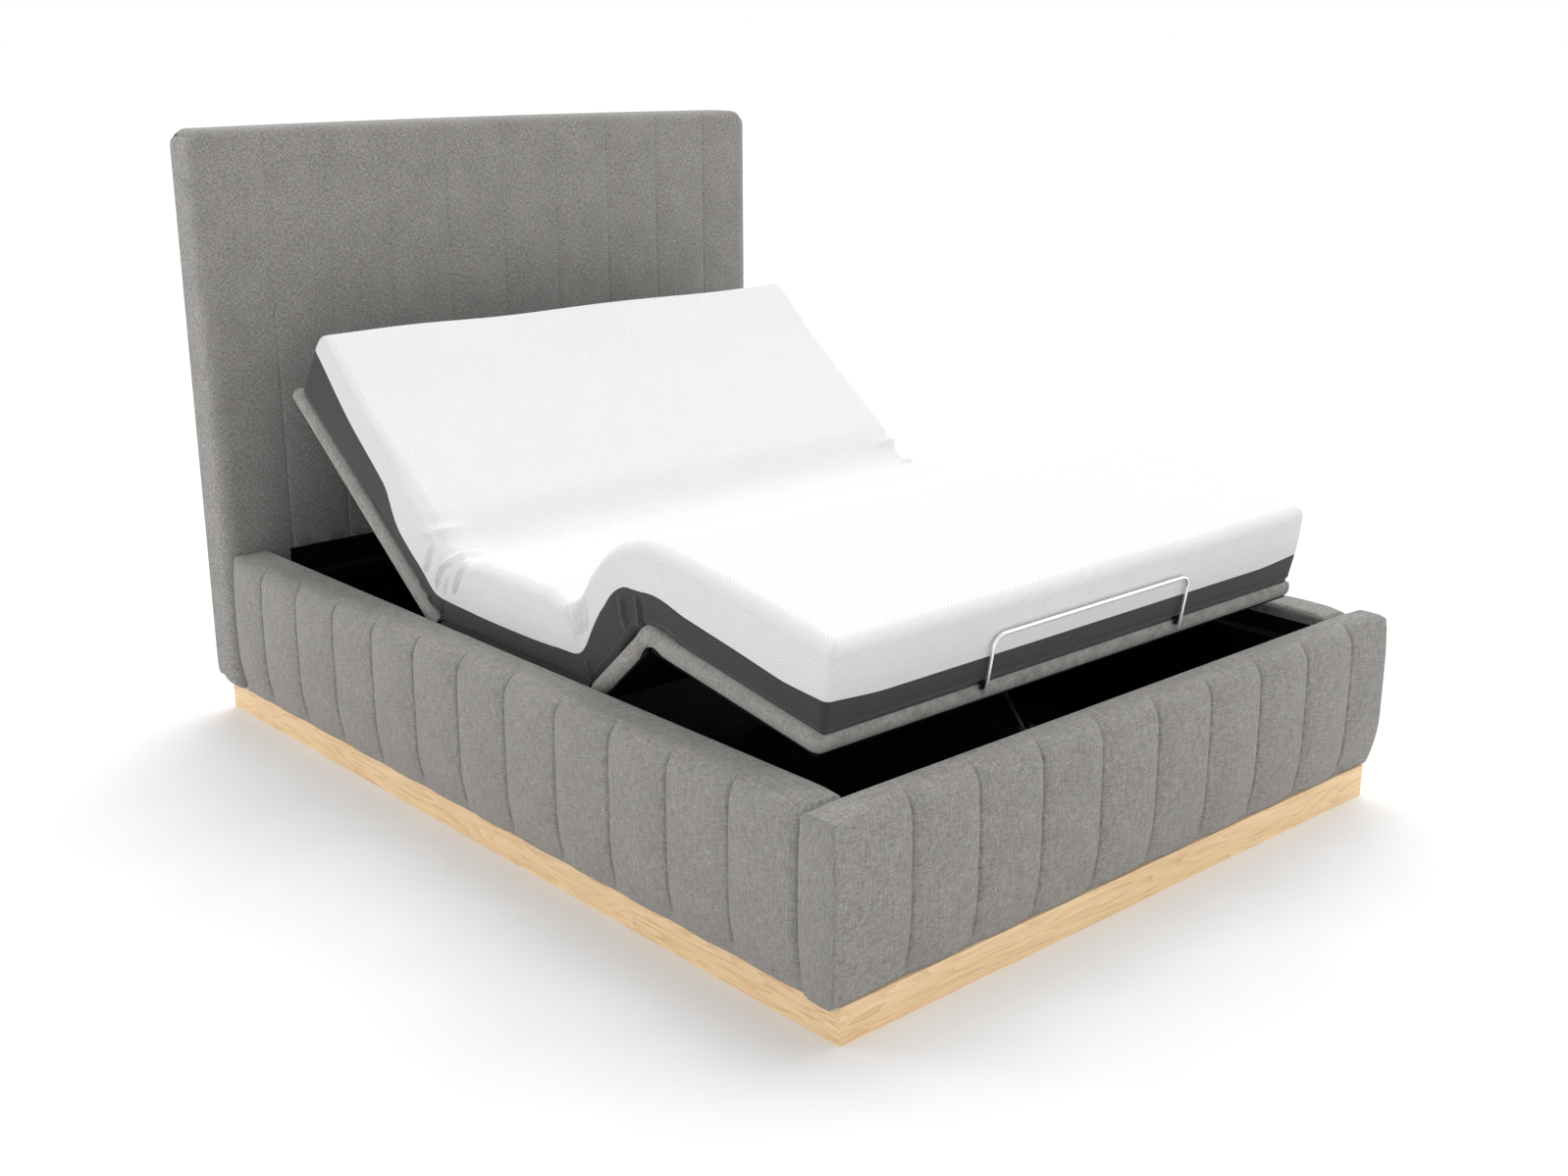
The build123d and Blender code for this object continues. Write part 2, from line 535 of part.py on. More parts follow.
leg_battens.part.label = "leg_battens"
export_step(leg_battens.part, "parts/leg_battens.step")

# Upholstered covers over the panels, with an open pocket from below.
PAD_CUT_B = END_GAP + 0.5 + PAD_UP * CUT_BACK
PAD_CUT_T = END_GAP + 0.5 + PAD_UP * CUT_THIGH
with BuildPart() as seat_pad:
    with BuildSketch(Plane.YZ.offset(-DECK_HALF_W)):
        with BuildLine():
            Polyline(S(THIGH_Y + END_GAP, DECK_LOW), S(BACK_Y - END_GAP, DECK_LOW), S(BACK_Y - END_GAP, 0),
                     S(BACK_Y - PAD_CUT_B, PAD_UP), S(THIGH_Y + PAD_CUT_T, PAD_UP), S(THIGH_Y + END_GAP, 0), close=True)
        make_face()
    extrude(amount=2 * DECK_HALF_W)
    with BuildSketch(Plane.YZ.offset(-PANEL_HALF_W)):
        with BuildLine():
            Polyline(S(THIGH_Y - 5, DECK_LOW - 5), S(BACK_Y + 5, DECK_LOW - 5), S(BACK_Y + 5, PLY_TOP), S(THIGH_Y - 5, PLY_TOP), close=True)
        make_face()
    extrude(amount=2 * PANEL_HALF_W, mode=Mode.SUBTRACT)
seat_pad.part.label = "seat_pad"
export_step(seat_pad.part, "parts/seat_pad.step")

with BuildPart() as back_pad:
    with BuildSketch(Plane.YZ.offset(-DECK_HALF_W)):
        with BuildLine():
            FilletPolyline(B(END_GAP, DECK_LOW), B(BACK_L, DECK_LOW), B(BACK_L, PAD_UP), B(PAD_CUT_B, PAD_UP), B(END_GAP, 0),
                           radius=[0, 7, 10, 0, 0], close=True)
        make_face()
    extrude(amount=2 * DECK_HALF_W)
    with BuildSketch(Plane.YZ.offset(-PANEL_HALF_W)):
        with BuildLine():
            Polyline(B(-5, DECK_LOW - 5), B(BACK_L - 8, DECK_LOW - 5), B(BACK_L - 8, PLY_TOP), B(-5, PLY_TOP), close=True)
        make_face()
    extrude(amount=2 * PANEL_HALF_W, mode=Mode.SUBTRACT)
back_pad.part.label = "back_pad"
export_step(back_pad.part, "parts/back_pad.step")

with BuildPart() as thigh_pad:
    with BuildSketch(Plane.YZ.offset(-DECK_HALF_W)):
        with BuildLine():
            Polyline(T(END_GAP, DECK_LOW), T(KNEE_BATTEN, DECK_LOW), T(KNEE_END, PLY_TOP), T(KNEE_END, PAD_UP),
                     T(PAD_CUT_T, PAD_UP), T(END_GAP, 0), close=True)
        make_face()
    extrude(amount=2 * DECK_HALF_W)
    with BuildSketch(Plane.YZ.offset(-PANEL_HALF_W)):
        with BuildLine():
            Polyline(T(-5, DECK_LOW - 5), T(THIGH_L + 5, DECK_LOW - 5), T(THIGH_L + 5, PLY_TOP), T(-5, PLY_TOP), close=True)
        make_face()
    extrude(amount=2 * PANEL_HALF_W, mode=Mode.SUBTRACT)
thigh_pad.part.label = "thigh_pad"
export_step(thigh_pad.part, "parts/thigh_pad.step")

BRACKET_X = 24.0
with BuildPart() as leg_pad:
    with BuildSketch(Plane.YZ.offset(-DECK_HALF_W)):
        with BuildLine():
            FilletPolyline(L(LEG_BATTEN, DECK_LOW), L(LEG_L, DECK_LOW), L(LEG_L, PAD_UP), L(END_GAP, PAD_UP), L(END_GAP, PLY_TOP),
                           radius=[0, 7, 7, 0, 0], close=True)
        make_face()
    extrude(amount=2 * DECK_HALF_W)
    with BuildSketch(Plane.YZ.offset(-PANEL_HALF_W)):
        with BuildLine():
            Polyline(L(-5, DECK_LOW - 5), L(LEG_L - 8, DECK_LOW - 5), L(LEG_L - 8, PLY_TOP), L(-5, PLY_TOP), close=True)
        make_face()
    extrude(amount=2 * PANEL_HALF_W, mode=Mode.SUBTRACT)
    for s in (-1, 1):
        with BuildSketch(Plane.YZ.offset(s * BAR_X - BRACKET_X / 2 - 0.3)):
            with BuildLine():
                Polyline(L(LEG_L - 70.3, PAD_UP - 3), L(LEG_L + 5, PAD_UP - 3), L(LEG_L + 5, PAD_UP + 5), L(LEG_L - 70.3, PAD_UP + 5), close=True)
            make_face()
        extrude(amount=BRACKET_X + 0.6, mode=Mode.SUBTRACT)
leg_pad.part.label = "leg_pad"
export_step(leg_pad.part, "parts/leg_pad.step")

# Mattress, one soft block for each section it lies on.
with BuildPart() as mattress_seat:
    with BuildSketch(Plane.YZ.offset(-MAT_HALF_W)):
        with BuildLine():
            Polyline(S(THIGH_Y + 6 + PAD_UP * CUT_THIGH, PAD_UP), S(BACK_Y - 6 - PAD_UP * CUT_BACK, PAD_UP),
                     S(BACK_Y - 6 - MAT_UP * CUT_BACK, MAT_UP), S(THIGH_Y + 6 + MAT_UP * CUT_THIGH, MAT_UP), close=True)
        make_face()
    extrude(amount=2 * MAT_HALF_W)
mattress_seat.part.label = "mattress_seat"
export_step(mattress_seat.part, "parts/mattress_seat.step")

with BuildPart() as mattress_back:
    with BuildSketch(Plane.YZ.offset(-MAT_HALF_W)):
        with BuildLine():
            FilletPolyline(B(6 + PAD_UP * CUT_BACK, PAD_UP), B(MAT_HEAD, PAD_UP), B(MAT_HEAD, MAT_UP), B(6 + MAT_UP * CUT_BACK, MAT_UP),
                           radius=[0, 12, 22, 0], close=True)
        make_face()
    extrude(amount=2 * MAT_HALF_W)
mattress_back.part.label = "mattress_back"
export_step(mattress_back.part, "parts/mattress_back.step")

with BuildPart() as mattress_thigh:
    with BuildSketch(Plane.YZ.offset(-MAT_HALF_W)):
        with BuildLine():
            Polyline(T(6 + PAD_UP * CUT_THIGH, PAD_UP), T(THIGH_L - 6, PAD_UP), T(THIGH_L - 6, MAT_UP), T(6 + MAT_UP * CUT_THIGH, MAT_UP), close=True)
        make_face()
    extrude(amount=2 * MAT_HALF_W)
mattress_thigh.part.label = "mattress_thigh"
export_step(mattress_thigh.part, "parts/mattress_thigh.step")

with BuildPart() as mattress_leg:
    with BuildSketch(Plane.YZ.offset(-MAT_HALF_W)):
        with BuildLine():
            FilletPolyline(L(6, PAD_UP), L(MAT_FOOT, PAD_UP), L(MAT_FOOT, MAT_UP), L(6, MAT_UP), radius=[0, 12, 22, 0], close=True)
        make_face()
    extrude(amount=2 * MAT_HALF_W)
mattress_leg.part.label = "mattress_leg"
export_step(mattress_leg.part, "parts/mattress_leg.step")

# ----------------------------------------------------------------- leaf hinges
# The seat and thigh leaves carry the two outer knuckles, the moving leaf the middle one.
OUTER_K = ((-60.0, -20.0), (20.0, 60.0))
MID_K = (-19.7, 19.7)
with BuildPart() as seat_hinge_leaves:
    for x in HINGE_X:
        with BuildSketch(Plane.YZ.offset(x - HINGE_W / 2)):
            with BuildLine():
                Polyline(S(BACK_Y - LEAF_U, PLY_TOP - 2), S(BACK_Y - 4.6, PLY_TOP - 2), S(BACK_Y - 4.6, PLY_TOP), S(BACK_Y - LEAF_U, PLY_TOP), close=True)
            make_face()
            with BuildLine():
                Polyline(S(THIGH_Y + LEAF_U, PLY_TOP - 2), S(THIGH_Y + 4.6, PLY_TOP - 2), S(THIGH_Y + 4.6, PLY_TOP), S(THIGH_Y + LEAF_U, PLY_TOP), close=True)
            make_face()
        extrude(amount=HINGE_W)
        for k0, k1 in OUTER_K:
            with BuildSketch(Plane.YZ.offset(x + k0)):
                with BuildLine():
                    Polyline(S(BACK_Y - 6, PLY_TOP - 2), S(BACK_Y - 2, PLY_TOP - 2), S(BACK_Y - 2, PLY_TOP), S(BACK_Y - 6, PLY_TOP), close=True)
                make_face()
                with BuildLine():
                    Polyline(S(THIGH_Y + 6, PLY_TOP - 2), S(THIGH_Y + 2, PLY_TOP - 2), S(THIGH_Y + 2, PLY_TOP), S(THIGH_Y + 6, PLY_TOP), close=True)
                make_face()
                with Locations(S(BACK_Y, 0), S(THIGH_Y, 0)):
                    Circle(KNUCKLE_R)
                    Circle(PIN_R + 0.02, mode=Mode.SUBTRACT)
            extrude(amount=k1 - k0)
seat_hinge_leaves.part.label = "seat_hinge_leaves"
export_step(seat_hinge_leaves.part, "parts/seat_hinge_leaves.step")

with BuildPart() as seat_hinge_pins:
    for x in HINGE_X:
        with BuildSketch(Plane.YZ.offset(x - HINGE_W / 2)):
            with Locations(S(BACK_Y, 0), S(THIGH_Y, 0)):
                Circle(PIN_R)
        extrude(amount=HINGE_W)
seat_hinge_pins.part.label = "seat_hinge_pins"
export_step(seat_hinge_pins.part, "parts/seat_hinge_pins.step")

with BuildPart() as back_hinge_leaves:
    for x in HINGE_X:
        with BuildSketch(Plane.YZ.offset(x - HINGE_W / 2)):
            with BuildLine():
                Polyline(B(LEAF_U, PLY_TOP - 2), B(4.6, PLY_TOP - 2), B(4.6, PLY_TOP), B(LEAF_U, PLY_TOP), close=True)
            make_face()
        extrude(amount=HINGE_W)
        with BuildSketch(Plane.YZ.offset(x + MID_K[0])):
            with BuildLine():
                Polyline(B(6, PLY_TOP - 2), B(2, PLY_TOP - 2), B(2, PLY_TOP), B(6, PLY_TOP), close=True)
            make_face()
            with Locations(B(0, 0)):
                Circle(KNUCKLE_R)
                Circle(PIN_R + 0.06, mode=Mode.SUBTRACT)
        extrude(amount=MID_K[1] - MID_K[0])
back_hinge_leaves.part.label = "back_hinge_leaves"
export_step(back_hinge_leaves.part, "parts/back_hinge_leaves.step")

with BuildPart() as thigh_hinge_leaves:
    for x in HINGE_X:
        with BuildSketch(Plane.YZ.offset(x - HINGE_W / 2)):
            with BuildLine():
                Polyline(T(LEAF_U, PLY_TOP - 2), T(4.6, PLY_TOP - 2), T(4.6, PLY_TOP), T(LEAF_U, PLY_TOP), close=True)
            make_face()
            with BuildLine():
                Polyline(T(THIGH_L - LEAF_U, PLY_TOP - 2), T(THIGH_L - 4.6, PLY_TOP - 2), T(THIGH_L - 4.6, PLY_TOP), T(THIGH_L - LEAF_U, PLY_TOP), close=True)
            make_face()
        extrude(amount=HINGE_W)
        with BuildSketch(Plane.YZ.offset(x + MID_K[0])):
            with BuildLine():
                Polyline(T(6, PLY_TOP - 2), T(2, PLY_TOP - 2), T(2, PLY_TOP), T(6, PLY_TOP), close=True)
            make_face()
            with Locations(T(0, 0)):
                Circle(KNUCKLE_R)
                Circle(PIN_R + 0.06, mode=Mode.SUBTRACT)
        extrude(amount=MID_K[1] - MID_K[0])
        for k0, k1 in OUTER_K:
            with BuildSketch(Plane.YZ.offset(x + k0)):
                with BuildLine():
                    Polyline(T(THIGH_L - 6, PLY_TOP - 2), T(THIGH_L - 2, PLY_TOP - 2), T(THIGH_L - 2, PLY_TOP), T(THIGH_L - 6, PLY_TOP), close=True)
                make_face()
                with Locations(T(THIGH_L, 0)):
                    Circle(KNUCKLE_R)
                    Circle(PIN_R + 0.02, mode=Mode.SUBTRACT)
            extrude(amount=k1 - k0)
thigh_hinge_leaves.part.label = "thigh_hinge_leaves"
export_step(thigh_hinge_leaves.part, "parts/thigh_hinge_leaves.step")

with BuildPart() as knee_hinge_pins:
    for x in HINGE_X:
        with BuildSketch(Plane.YZ.offset(x - HINGE_W / 2)):
            with Locations(T(THIGH_L, 0)):
                Circle(PIN_R)
        extrude(amount=HINGE_W)
knee_hinge_pins.part.label = "knee_hinge_pins"
export_step(knee_hinge_pins.part, "parts/knee_hinge_pins.step")

with BuildPart() as leg_hinge_leaves:
    for x in HINGE_X:
        with BuildSketch(Plane.YZ.offset(x - HINGE_W / 2)):
            with BuildLine():
                Polyline(L(LEAF_U, PLY_TOP - 2), L(4.6, PLY_TOP - 2), L(4.6, PLY_TOP), L(LEAF_U, PLY_TOP), close=True)
            make_face()
        extrude(amount=HINGE_W)
        with BuildSketch(Plane.YZ.offset(x + MID_K[0])):
            with BuildLine():
                Polyline(L(6, PLY_TOP - 2), L(2, PLY_TOP - 2), L(2, PLY_TOP), L(6, PLY_TOP), close=True)
            make_face()
            with Locations(L(0, 0)):
                Circle(KNUCKLE_R)
                Circle(PIN_R + 0.06, mode=Mode.SUBTRACT)
        extrude(amount=MID_K[1] - MID_K[0])
leg_hinge_leaves.part.label = "leg_hinge_leaves"
export_step(leg_hinge_leaves.part, "parts/leg_hinge_leaves.step")

# -------------------------------------------------------------- lift mechanism
# Each raised section has a pair of lever plates with a roller between them; a
# horizontal push rod under the seat bears on the roller.
BL = (-LEVER_A * math.sin(math.radians(BACK_MAX / 2)), -LEVER_A * math.cos(math.radians(BACK_MAX / 2)))
TL = (-LEVER_A * math.sin(math.radians(THIGH_MAX / 2)), -LEVER_A * math.cos(math.radians(THIGH_MAX / 2)))
PLATES = ((-20.0, -12.0), (12.0, 20.0))
with BuildPart() as back_lever:
    for p0, p1 in PLATES:
        with BuildSketch(Plane.YZ.offset(DRIVE_X + p0)):
            with BuildLine():
                FilletPolyline(B(12, DECK_LOW), B(95, DECK_LOW), B(95, DECK_LOW - 14), B(BL[0] + 10, BL[1] - 12), B(BL[0] - 12, BL[1] - 8),
                               B(BL[0] - 9, BL[1] + 12), B(6, DECK_LOW - 8), radius=[0, 0, 6, 8, 8, 8, 0], close=True)
            make_face()
            with Locations(B(*BL)):
                Circle(5.0, mode=Mode.SUBTRACT)
        extrude(amount=p1 - p0)
back_lever.part.label = "back_lever"
export_step(back_lever.part, "parts/back_lever.step")

with BuildPart() as back_lever_pin:
    with BuildSketch(Plane.YZ.offset(DRIVE_X - 24)):
        with Locations(B(*BL)):
            Circle(4.98)
    extrude(amount=48)
back_lever_pin.part.label = "back_lever_pin"
export_step(back_lever_pin.part, "parts/back_lever_pin.step")

with BuildPart() as back_lever_roller:
    with BuildSketch(Plane.YZ.offset(DRIVE_X - 11.5)):
        with Locations(B(*BL)):
            Circle(ROLLER_R)
            Circle(5.04, mode=Mode.SUBTRACT)
    extrude(amount=23)
back_lever_roller.part.label = "back_lever_roller"
export_step(back_lever_roller.part, "parts/back_lever_roller.step")

with BuildPart() as thigh_lever:
    for p0, p1 in PLATES:
        with BuildSketch(Plane.YZ.offset(-DRIVE_X + p0)):
            with BuildLine():
                FilletPolyline(T(12, DECK_LOW), T(95, DECK_LOW), T(95, DECK_LOW - 14), T(TL[0] + 10, TL[1] - 12), T(TL[0] - 12, TL[1] - 8),
                               T(TL[0] - 9, TL[1] + 12), T(6, DECK_LOW - 8), radius=[0, 0, 6, 8, 8, 8, 0], close=True)
            make_face()
            with Locations(T(*TL)):
                Circle(5.0, mode=Mode.SUBTRACT)
        extrude(amount=p1 - p0)
thigh_lever.part.label = "thigh_lever"
export_step(thigh_lever.part, "parts/thigh_lever.step")

with BuildPart() as thigh_lever_pin:
    with BuildSketch(Plane.YZ.offset(-DRIVE_X - 24)):
        with Locations(T(*TL)):
            Circle(4.98)
    extrude(amount=48)
thigh_lever_pin.part.label = "thigh_lever_pin"
export_step(thigh_lever_pin.part, "parts/thigh_lever_pin.step")

with BuildPart() as thigh_lever_roller:
    with BuildSketch(Plane.YZ.offset(-DRIVE_X - 11.5)):
        with Locations(T(*TL)):
            Circle(ROLLER_R)
            Circle(5.04, mode=Mode.SUBTRACT)
    extrude(amount=23)
thigh_lever_roller.part.label = "thigh_lever_roller"
export_step(thigh_lever_roller.part, "parts/thigh_lever_roller.step")

# Drive housings hang under the seat tubes: rod tube, gear block and motor.
DRIVE_TOP = SEAT_UNDER - 43.0
DRIVE_LOW = DRIVE_TOP - 50.0
with BuildPart() as back_drive_housing:
    with BuildSketch(Plane.XY.offset(DRIVE_LOW)):
        with Locations((DRIVE_X, 15)):
            Rectangle(60, 230)
        with Locations((DRIVE_X + 30, -115)):
            Rectangle(120, 30)
    extrude(amount=50)
    fillet(back_drive_housing.edges().filter_by(Axis.Z), radius=6)
    with BuildSketch(Plane.XZ.offset(-131)):
        with Locations((DRIVE_X, ROD_Z)):
            Circle(ROD_R + 0.3)
    extrude(amount=211, mode=Mode.SUBTRACT)
back_drive_housing.part.label = "back_drive_housing"
export_step(back_drive_housing.part, "parts/back_drive_housing.step")

with BuildPart() as thigh_drive_housing:
    with BuildSketch(Plane.XY.offset(DRIVE_LOW)):
        with Locations((-DRIVE_X, -15)):
            Rectangle(60, 230)
        with Locations((-DRIVE_X - 30, 115)):
            Rectangle(120, 30)
    extrude(amount=50)
    fillet(thigh_drive_housing.edges().filter_by(Axis.Z), radius=6)
    with BuildSketch(Plane.XZ.offset(131)):
        with Locations((-DRIVE_X, ROD_Z)):
            Circle(ROD_R + 0.3)
    extrude(amount=-211, mode=Mode.SUBTRACT)
thigh_drive_housing.part.label = "thigh_drive_housing"
export_step(thigh_drive_housing.part, "parts/thigh_drive_housing.step")

with BuildPart() as drive_motors:
    with BuildSketch(Plane.XZ.offset(100)):
        with Locations((DRIVE_X + 61, DRIVE_LOW + 25)):
            Circle(25)
    extrude(amount=-140)
    with BuildSketch(Plane.XZ.offset(-100)):
        with Locations((-DRIVE_X - 61, DRIVE_LOW + 25)):
            Circle(25)
    extrude(amount=140)
    chamfer(drive_motors.edges().filter_by(GeomType.CIRCLE).group_by(Axis.Y)[1:3], length=2)
drive_motors.part.label = "drive_motors"
export_step(drive_motors.part, "parts/drive_motors.step")

with BuildPart() as drive_hangers:
    with BuildSketch(Plane.XY.offset(DRIVE_TOP)):
        for x in (-DRIVE_X, DRIVE_X):
            for y in SEAT_TUBES:
                with Locations((x, y)):
                    Rectangle(90, 36)
    extrude(amount=3)
drive_hangers.part.label = "drive_hangers"
export_step(drive_hangers.part, "parts/drive_hangers.step")

BACK_NOSE = B(*BL)[0] - ROLLER_R - BACK_GAP
THIGH_NOSE = T(*TL)[0] + ROLLER_R + THIGH_GAP
with BuildPart() as back_push_rod:
    with BuildSketch(Plane.XZ.offset(-(BACK_NOSE - 8))):
        with Locations((DRIVE_X, ROD_Z)):
            Rectangle(20, 50)
    extrude(amount=-8)
    with BuildSketch(Plane.XZ.offset(-(BACK_NOSE - 8))):
        with Locations((DRIVE_X, ROD_Z)):
            Circle(ROD_R)
    extrude(amount=232)
back_push_rod.part.label = "back_push_rod"
export_step(back_push_rod.part, "parts/back_push_rod.step")

with BuildPart() as thigh_push_rod:
    with BuildSketch(Plane.XZ.offset(-(THIGH_NOSE + 8))):
        with Locations((-DRIVE_X, ROD_Z)):
            Rectangle(20, 50)
    extrude(amount=8)
    with BuildSketch(Plane.XZ.offset(-(THIGH_NOSE + 8))):
        with Locations((-DRIVE_X, ROD_Z)):
            Circle(ROD_R)
    extrude(amount=-232)
thigh_push_rod.part.label = "thigh_push_rod"
export_step(thigh_push_rod.part, "parts/thigh_push_rod.step")

# Control box under the seat, with its mains inlet recess on the head side.
with BuildPart() as control_box:
    with BuildSketch(Plane.XY.offset(SEAT_UNDER - 40 - 46)):
        with Locations((410, 70)):
            RectangleRounded(170, 100, 8)
    extrude(amount=46)
    with BuildSketch(Plane.XZ.offset(-121)):
        with Locations((410, SEAT_UNDER - 63)):
            RectangleRounded(28, 20, 4)
    extrude(amount=15, mode=Mode.SUBTRACT)
    with BuildSketch(Plane.XZ.offset(-121)):
        with Locations((350, SEAT_UNDER - 63), (372, SEAT_UNDER - 63)):
            Circle(5)
    extrude(amount=11, mode=Mode.SUBTRACT)
control_box.part.label = "control_box"
export_step(control_box.part, "parts/control_box.step")

# ------------------------------------------------------------------ prop strut
# A slim strut under the leg section; its wheels run on a track along the middle.
with BuildPart() as prop_track:
    with BuildSketch(Plane.XZ.offset(585)):
        with Locations((0, TRACK_TOP - 10)):
            RectangleRounded(60, 20, 3)
            Rectangle(55, 15, mode=Mode.SUBTRACT)
    extrude(amount=425)
prop_track.part.label = "prop_track"
export_step(prop_track.part, "parts/prop_track.step")

with BuildPart() as prop_track_hangers:
    with BuildSketch(Plane.XY.offset(TRACK_TOP)):
        with Locations((0, -1004), (0, -596)):
            Rectangle(56, 8)
    extrude(amount=313 - TRACK_TOP)
prop_track_hangers.part.label = "prop_track_hangers"
export_step(prop_track_hangers.part, "parts/prop_track_hangers.step")

with BuildPart() as prop_bracket:
    with BuildSketch(Plane.YZ.offset(-26)):
        with BuildLine():
            Polyline(L(PROP_U - 30, DECK_LOW), L(PROP_U + 30, DECK_LOW), L(PROP_U + 30, DECK_LOW - 4), L(PROP_U - 30, DECK_LOW - 4), close=True)
        make_face()
    extrude(amount=52)
    for p0, p1 in ((-18.0, -13.0), (13.0, 18.0)):
        with BuildSketch(Plane.YZ.offset(p0)):
            with BuildLine():
                FilletPolyline(L(PROP_U - 16, DECK_LOW - 1), L(PROP_U + 16, DECK_LOW - 1), L(PROP_U + 11, PROP_V - 11), L(PROP_U - 11, PROP_V - 11),
                               radius=[0, 0, 8, 8], close=True)
            make_face()
            with Locations(L(PROP_U, PROP_V)):
                Circle(5.0, mode=Mode.SUBTRACT)
        extrude(amount=p1 - p0)
prop_bracket.part.label = "prop_bracket"
export_step(prop_bracket.part, "parts/prop_bracket.step")

with BuildPart() as prop_pin:
    with BuildSketch(Plane.YZ.offset(-22)):
        with Locations(L(PROP_U, PROP_V)):
            Circle(4.98)
    extrude(amount=44)
prop_pin.part.label = "prop_pin"
export_step(prop_pin.part, "parts/prop_pin.step")

PROP_TOP = L(PROP_U, PROP_V)
PROP_END = (PROP_TOP[0] - PROP_L * math.cos(math.radians(PROP_DEG)), PROP_TOP[1] - PROP_L * math.sin(math.radians(PROP_DEG)))
PROP_DIR = Vector(0, -math.cos(math.radians(PROP_DEG)), -math.sin(math.radians(PROP_DEG)))
with BuildPart() as prop_strut:
    with BuildSketch(Plane.YZ.offset(-12)):
        with Locations(PROP_TOP):
            Circle(10)
    extrude(amount=24)
    with BuildSketch(Plane(origin=(0, PROP_TOP[0], PROP_TOP[1]), x_dir=(1, 0, 0), z_dir=PROP_DIR)):
        Circle(5)
    extrude(amount=PROP_L)
    with BuildSketch(Plane.YZ.offset(-7)):
        with Locations(PROP_END):
            Circle(7)
    extrude(amount=14)
    with BuildSketch(Plane.YZ.offset(-25)):
        with Locations(PROP_END):
            Circle(4)
    extrude(amount=50)
    with BuildSketch(Plane.YZ.offset(-13)):
        with Locations(PROP_TOP):
            Circle(5.05)
    extrude(amount=26, mode=Mode.SUBTRACT)
prop_strut.part.label = "prop_strut"
export_step(prop_strut.part, "parts/prop_strut.step")

with BuildPart() as prop_wheels:
    for p0, p1 in ((-22.0, -9.0), (9.0, 22.0)):
        with BuildSketch(Plane.YZ.offset(p0)):
            with Locations(PROP_END):
                Circle(PROP_ROLLER_R)
                Circle(4.05, mode=Mode.SUBTRACT)
        extrude(amount=p1 - p0)
prop_wheels.part.label = "prop_wheels"
export_step(prop_wheels.part, "parts/prop_wheels.step")

# ------------------------------------------------------------- retainer at foot
with BuildPart() as retainer_brackets:
    for s in (-1, 1):
        with BuildSketch(Plane.YZ.offset(s * BAR_X - BRACKET_X / 2)):
            with BuildLine():
                Polyline(L(LEG_L - 70, PAD_UP - 3), L(LEG_L, PAD_UP - 3), L(LEG_L, -5), L(LEG_L + 2, -5), L(LEG_L + 2, PAD_UP),
                         L(LEG_L - 70, PAD_UP), close=True)
            make_face()
        extrude(amount=BRACKET_X)
retainer_brackets.part.label = "retainer_brackets"
export_step(retainer_brackets.part, "parts/retainer_brackets.step")

BAR_PLANE = Plane(origin=(0, L(BAR_U, 0)[0], L(BAR_U, 0)[1]), x_dir=(1, 0, 0), z_dir=(0, -cl, -sl))
with BuildPart() as retainer_bar:
    with BuildLine(BAR_PLANE) as bar_path:
        FilletPolyline((-BAR_X, -14), (-BAR_X, BAR_UP), (BAR_X, BAR_UP), (BAR_X, -14), radius=26)
    with BuildSketch(Plane(origin=bar_path.line @ 0, z_dir=bar_path.line % 0)):
        Circle(BAR_R)
    sweep(path=bar_path.line)
retainer_bar.part.label = "retainer_bar"
export_step(retainer_bar.part, "parts/retainer_bar.step")
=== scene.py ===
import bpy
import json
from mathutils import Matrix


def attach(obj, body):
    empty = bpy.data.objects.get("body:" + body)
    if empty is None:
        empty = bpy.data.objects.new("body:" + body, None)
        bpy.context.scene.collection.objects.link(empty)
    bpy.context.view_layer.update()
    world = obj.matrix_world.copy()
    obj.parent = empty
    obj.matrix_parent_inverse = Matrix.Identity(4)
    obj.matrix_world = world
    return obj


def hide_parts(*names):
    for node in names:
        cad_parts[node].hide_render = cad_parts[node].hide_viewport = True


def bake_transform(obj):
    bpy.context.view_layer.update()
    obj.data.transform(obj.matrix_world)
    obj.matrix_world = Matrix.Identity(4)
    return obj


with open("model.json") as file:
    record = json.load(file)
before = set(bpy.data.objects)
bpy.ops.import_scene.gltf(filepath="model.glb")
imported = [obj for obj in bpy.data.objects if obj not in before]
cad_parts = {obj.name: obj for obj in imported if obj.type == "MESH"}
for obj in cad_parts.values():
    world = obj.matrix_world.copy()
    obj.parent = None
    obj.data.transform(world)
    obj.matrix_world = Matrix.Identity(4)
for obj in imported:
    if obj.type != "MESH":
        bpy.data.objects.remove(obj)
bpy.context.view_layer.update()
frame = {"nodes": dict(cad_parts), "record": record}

import json
import math

import bpy
import numpy as np
from mathutils import Vector

NODES = frame["nodes"]
scene = bpy.context.scene

# ---------------------------------------------------------------- dimensions, mm
HALF_W, FOOT_Y, RAIL_TOP, RAIL_T, SIDE_T = 834.0, -1117.0, 415.0, 89.0, 111.5
RAIL_IN, FOOT_IN, BOARD_FRONT = 722.5, -1028.0, 1007.0
FOAM, PLY, PLINTH_H, BED_H = 25.0, 12.0, 72.0, 1416.0
CORE_TOP, LIP_Z = 390.0, 387.0
PIVOT_Z, BACK_Y, THIGH_Y = 397.2, 271.3, -285.1
BACK_A, THIGH_A, LEG_A = (math.radians(a) for a in (37.2, 42.5, 9.5))
BACK_L, THIGH_L, LEG_L = 726.0, 240.1, 488.7
MAT_W, MAT_LO, MAT_UP, MAT_HEAD, MAT_FOOT = 700.0, 9.0, 177.0, 712.0, 488.5
KNEE_Y = THIGH_Y - THIGH_L * math.cos(THIGH_A)
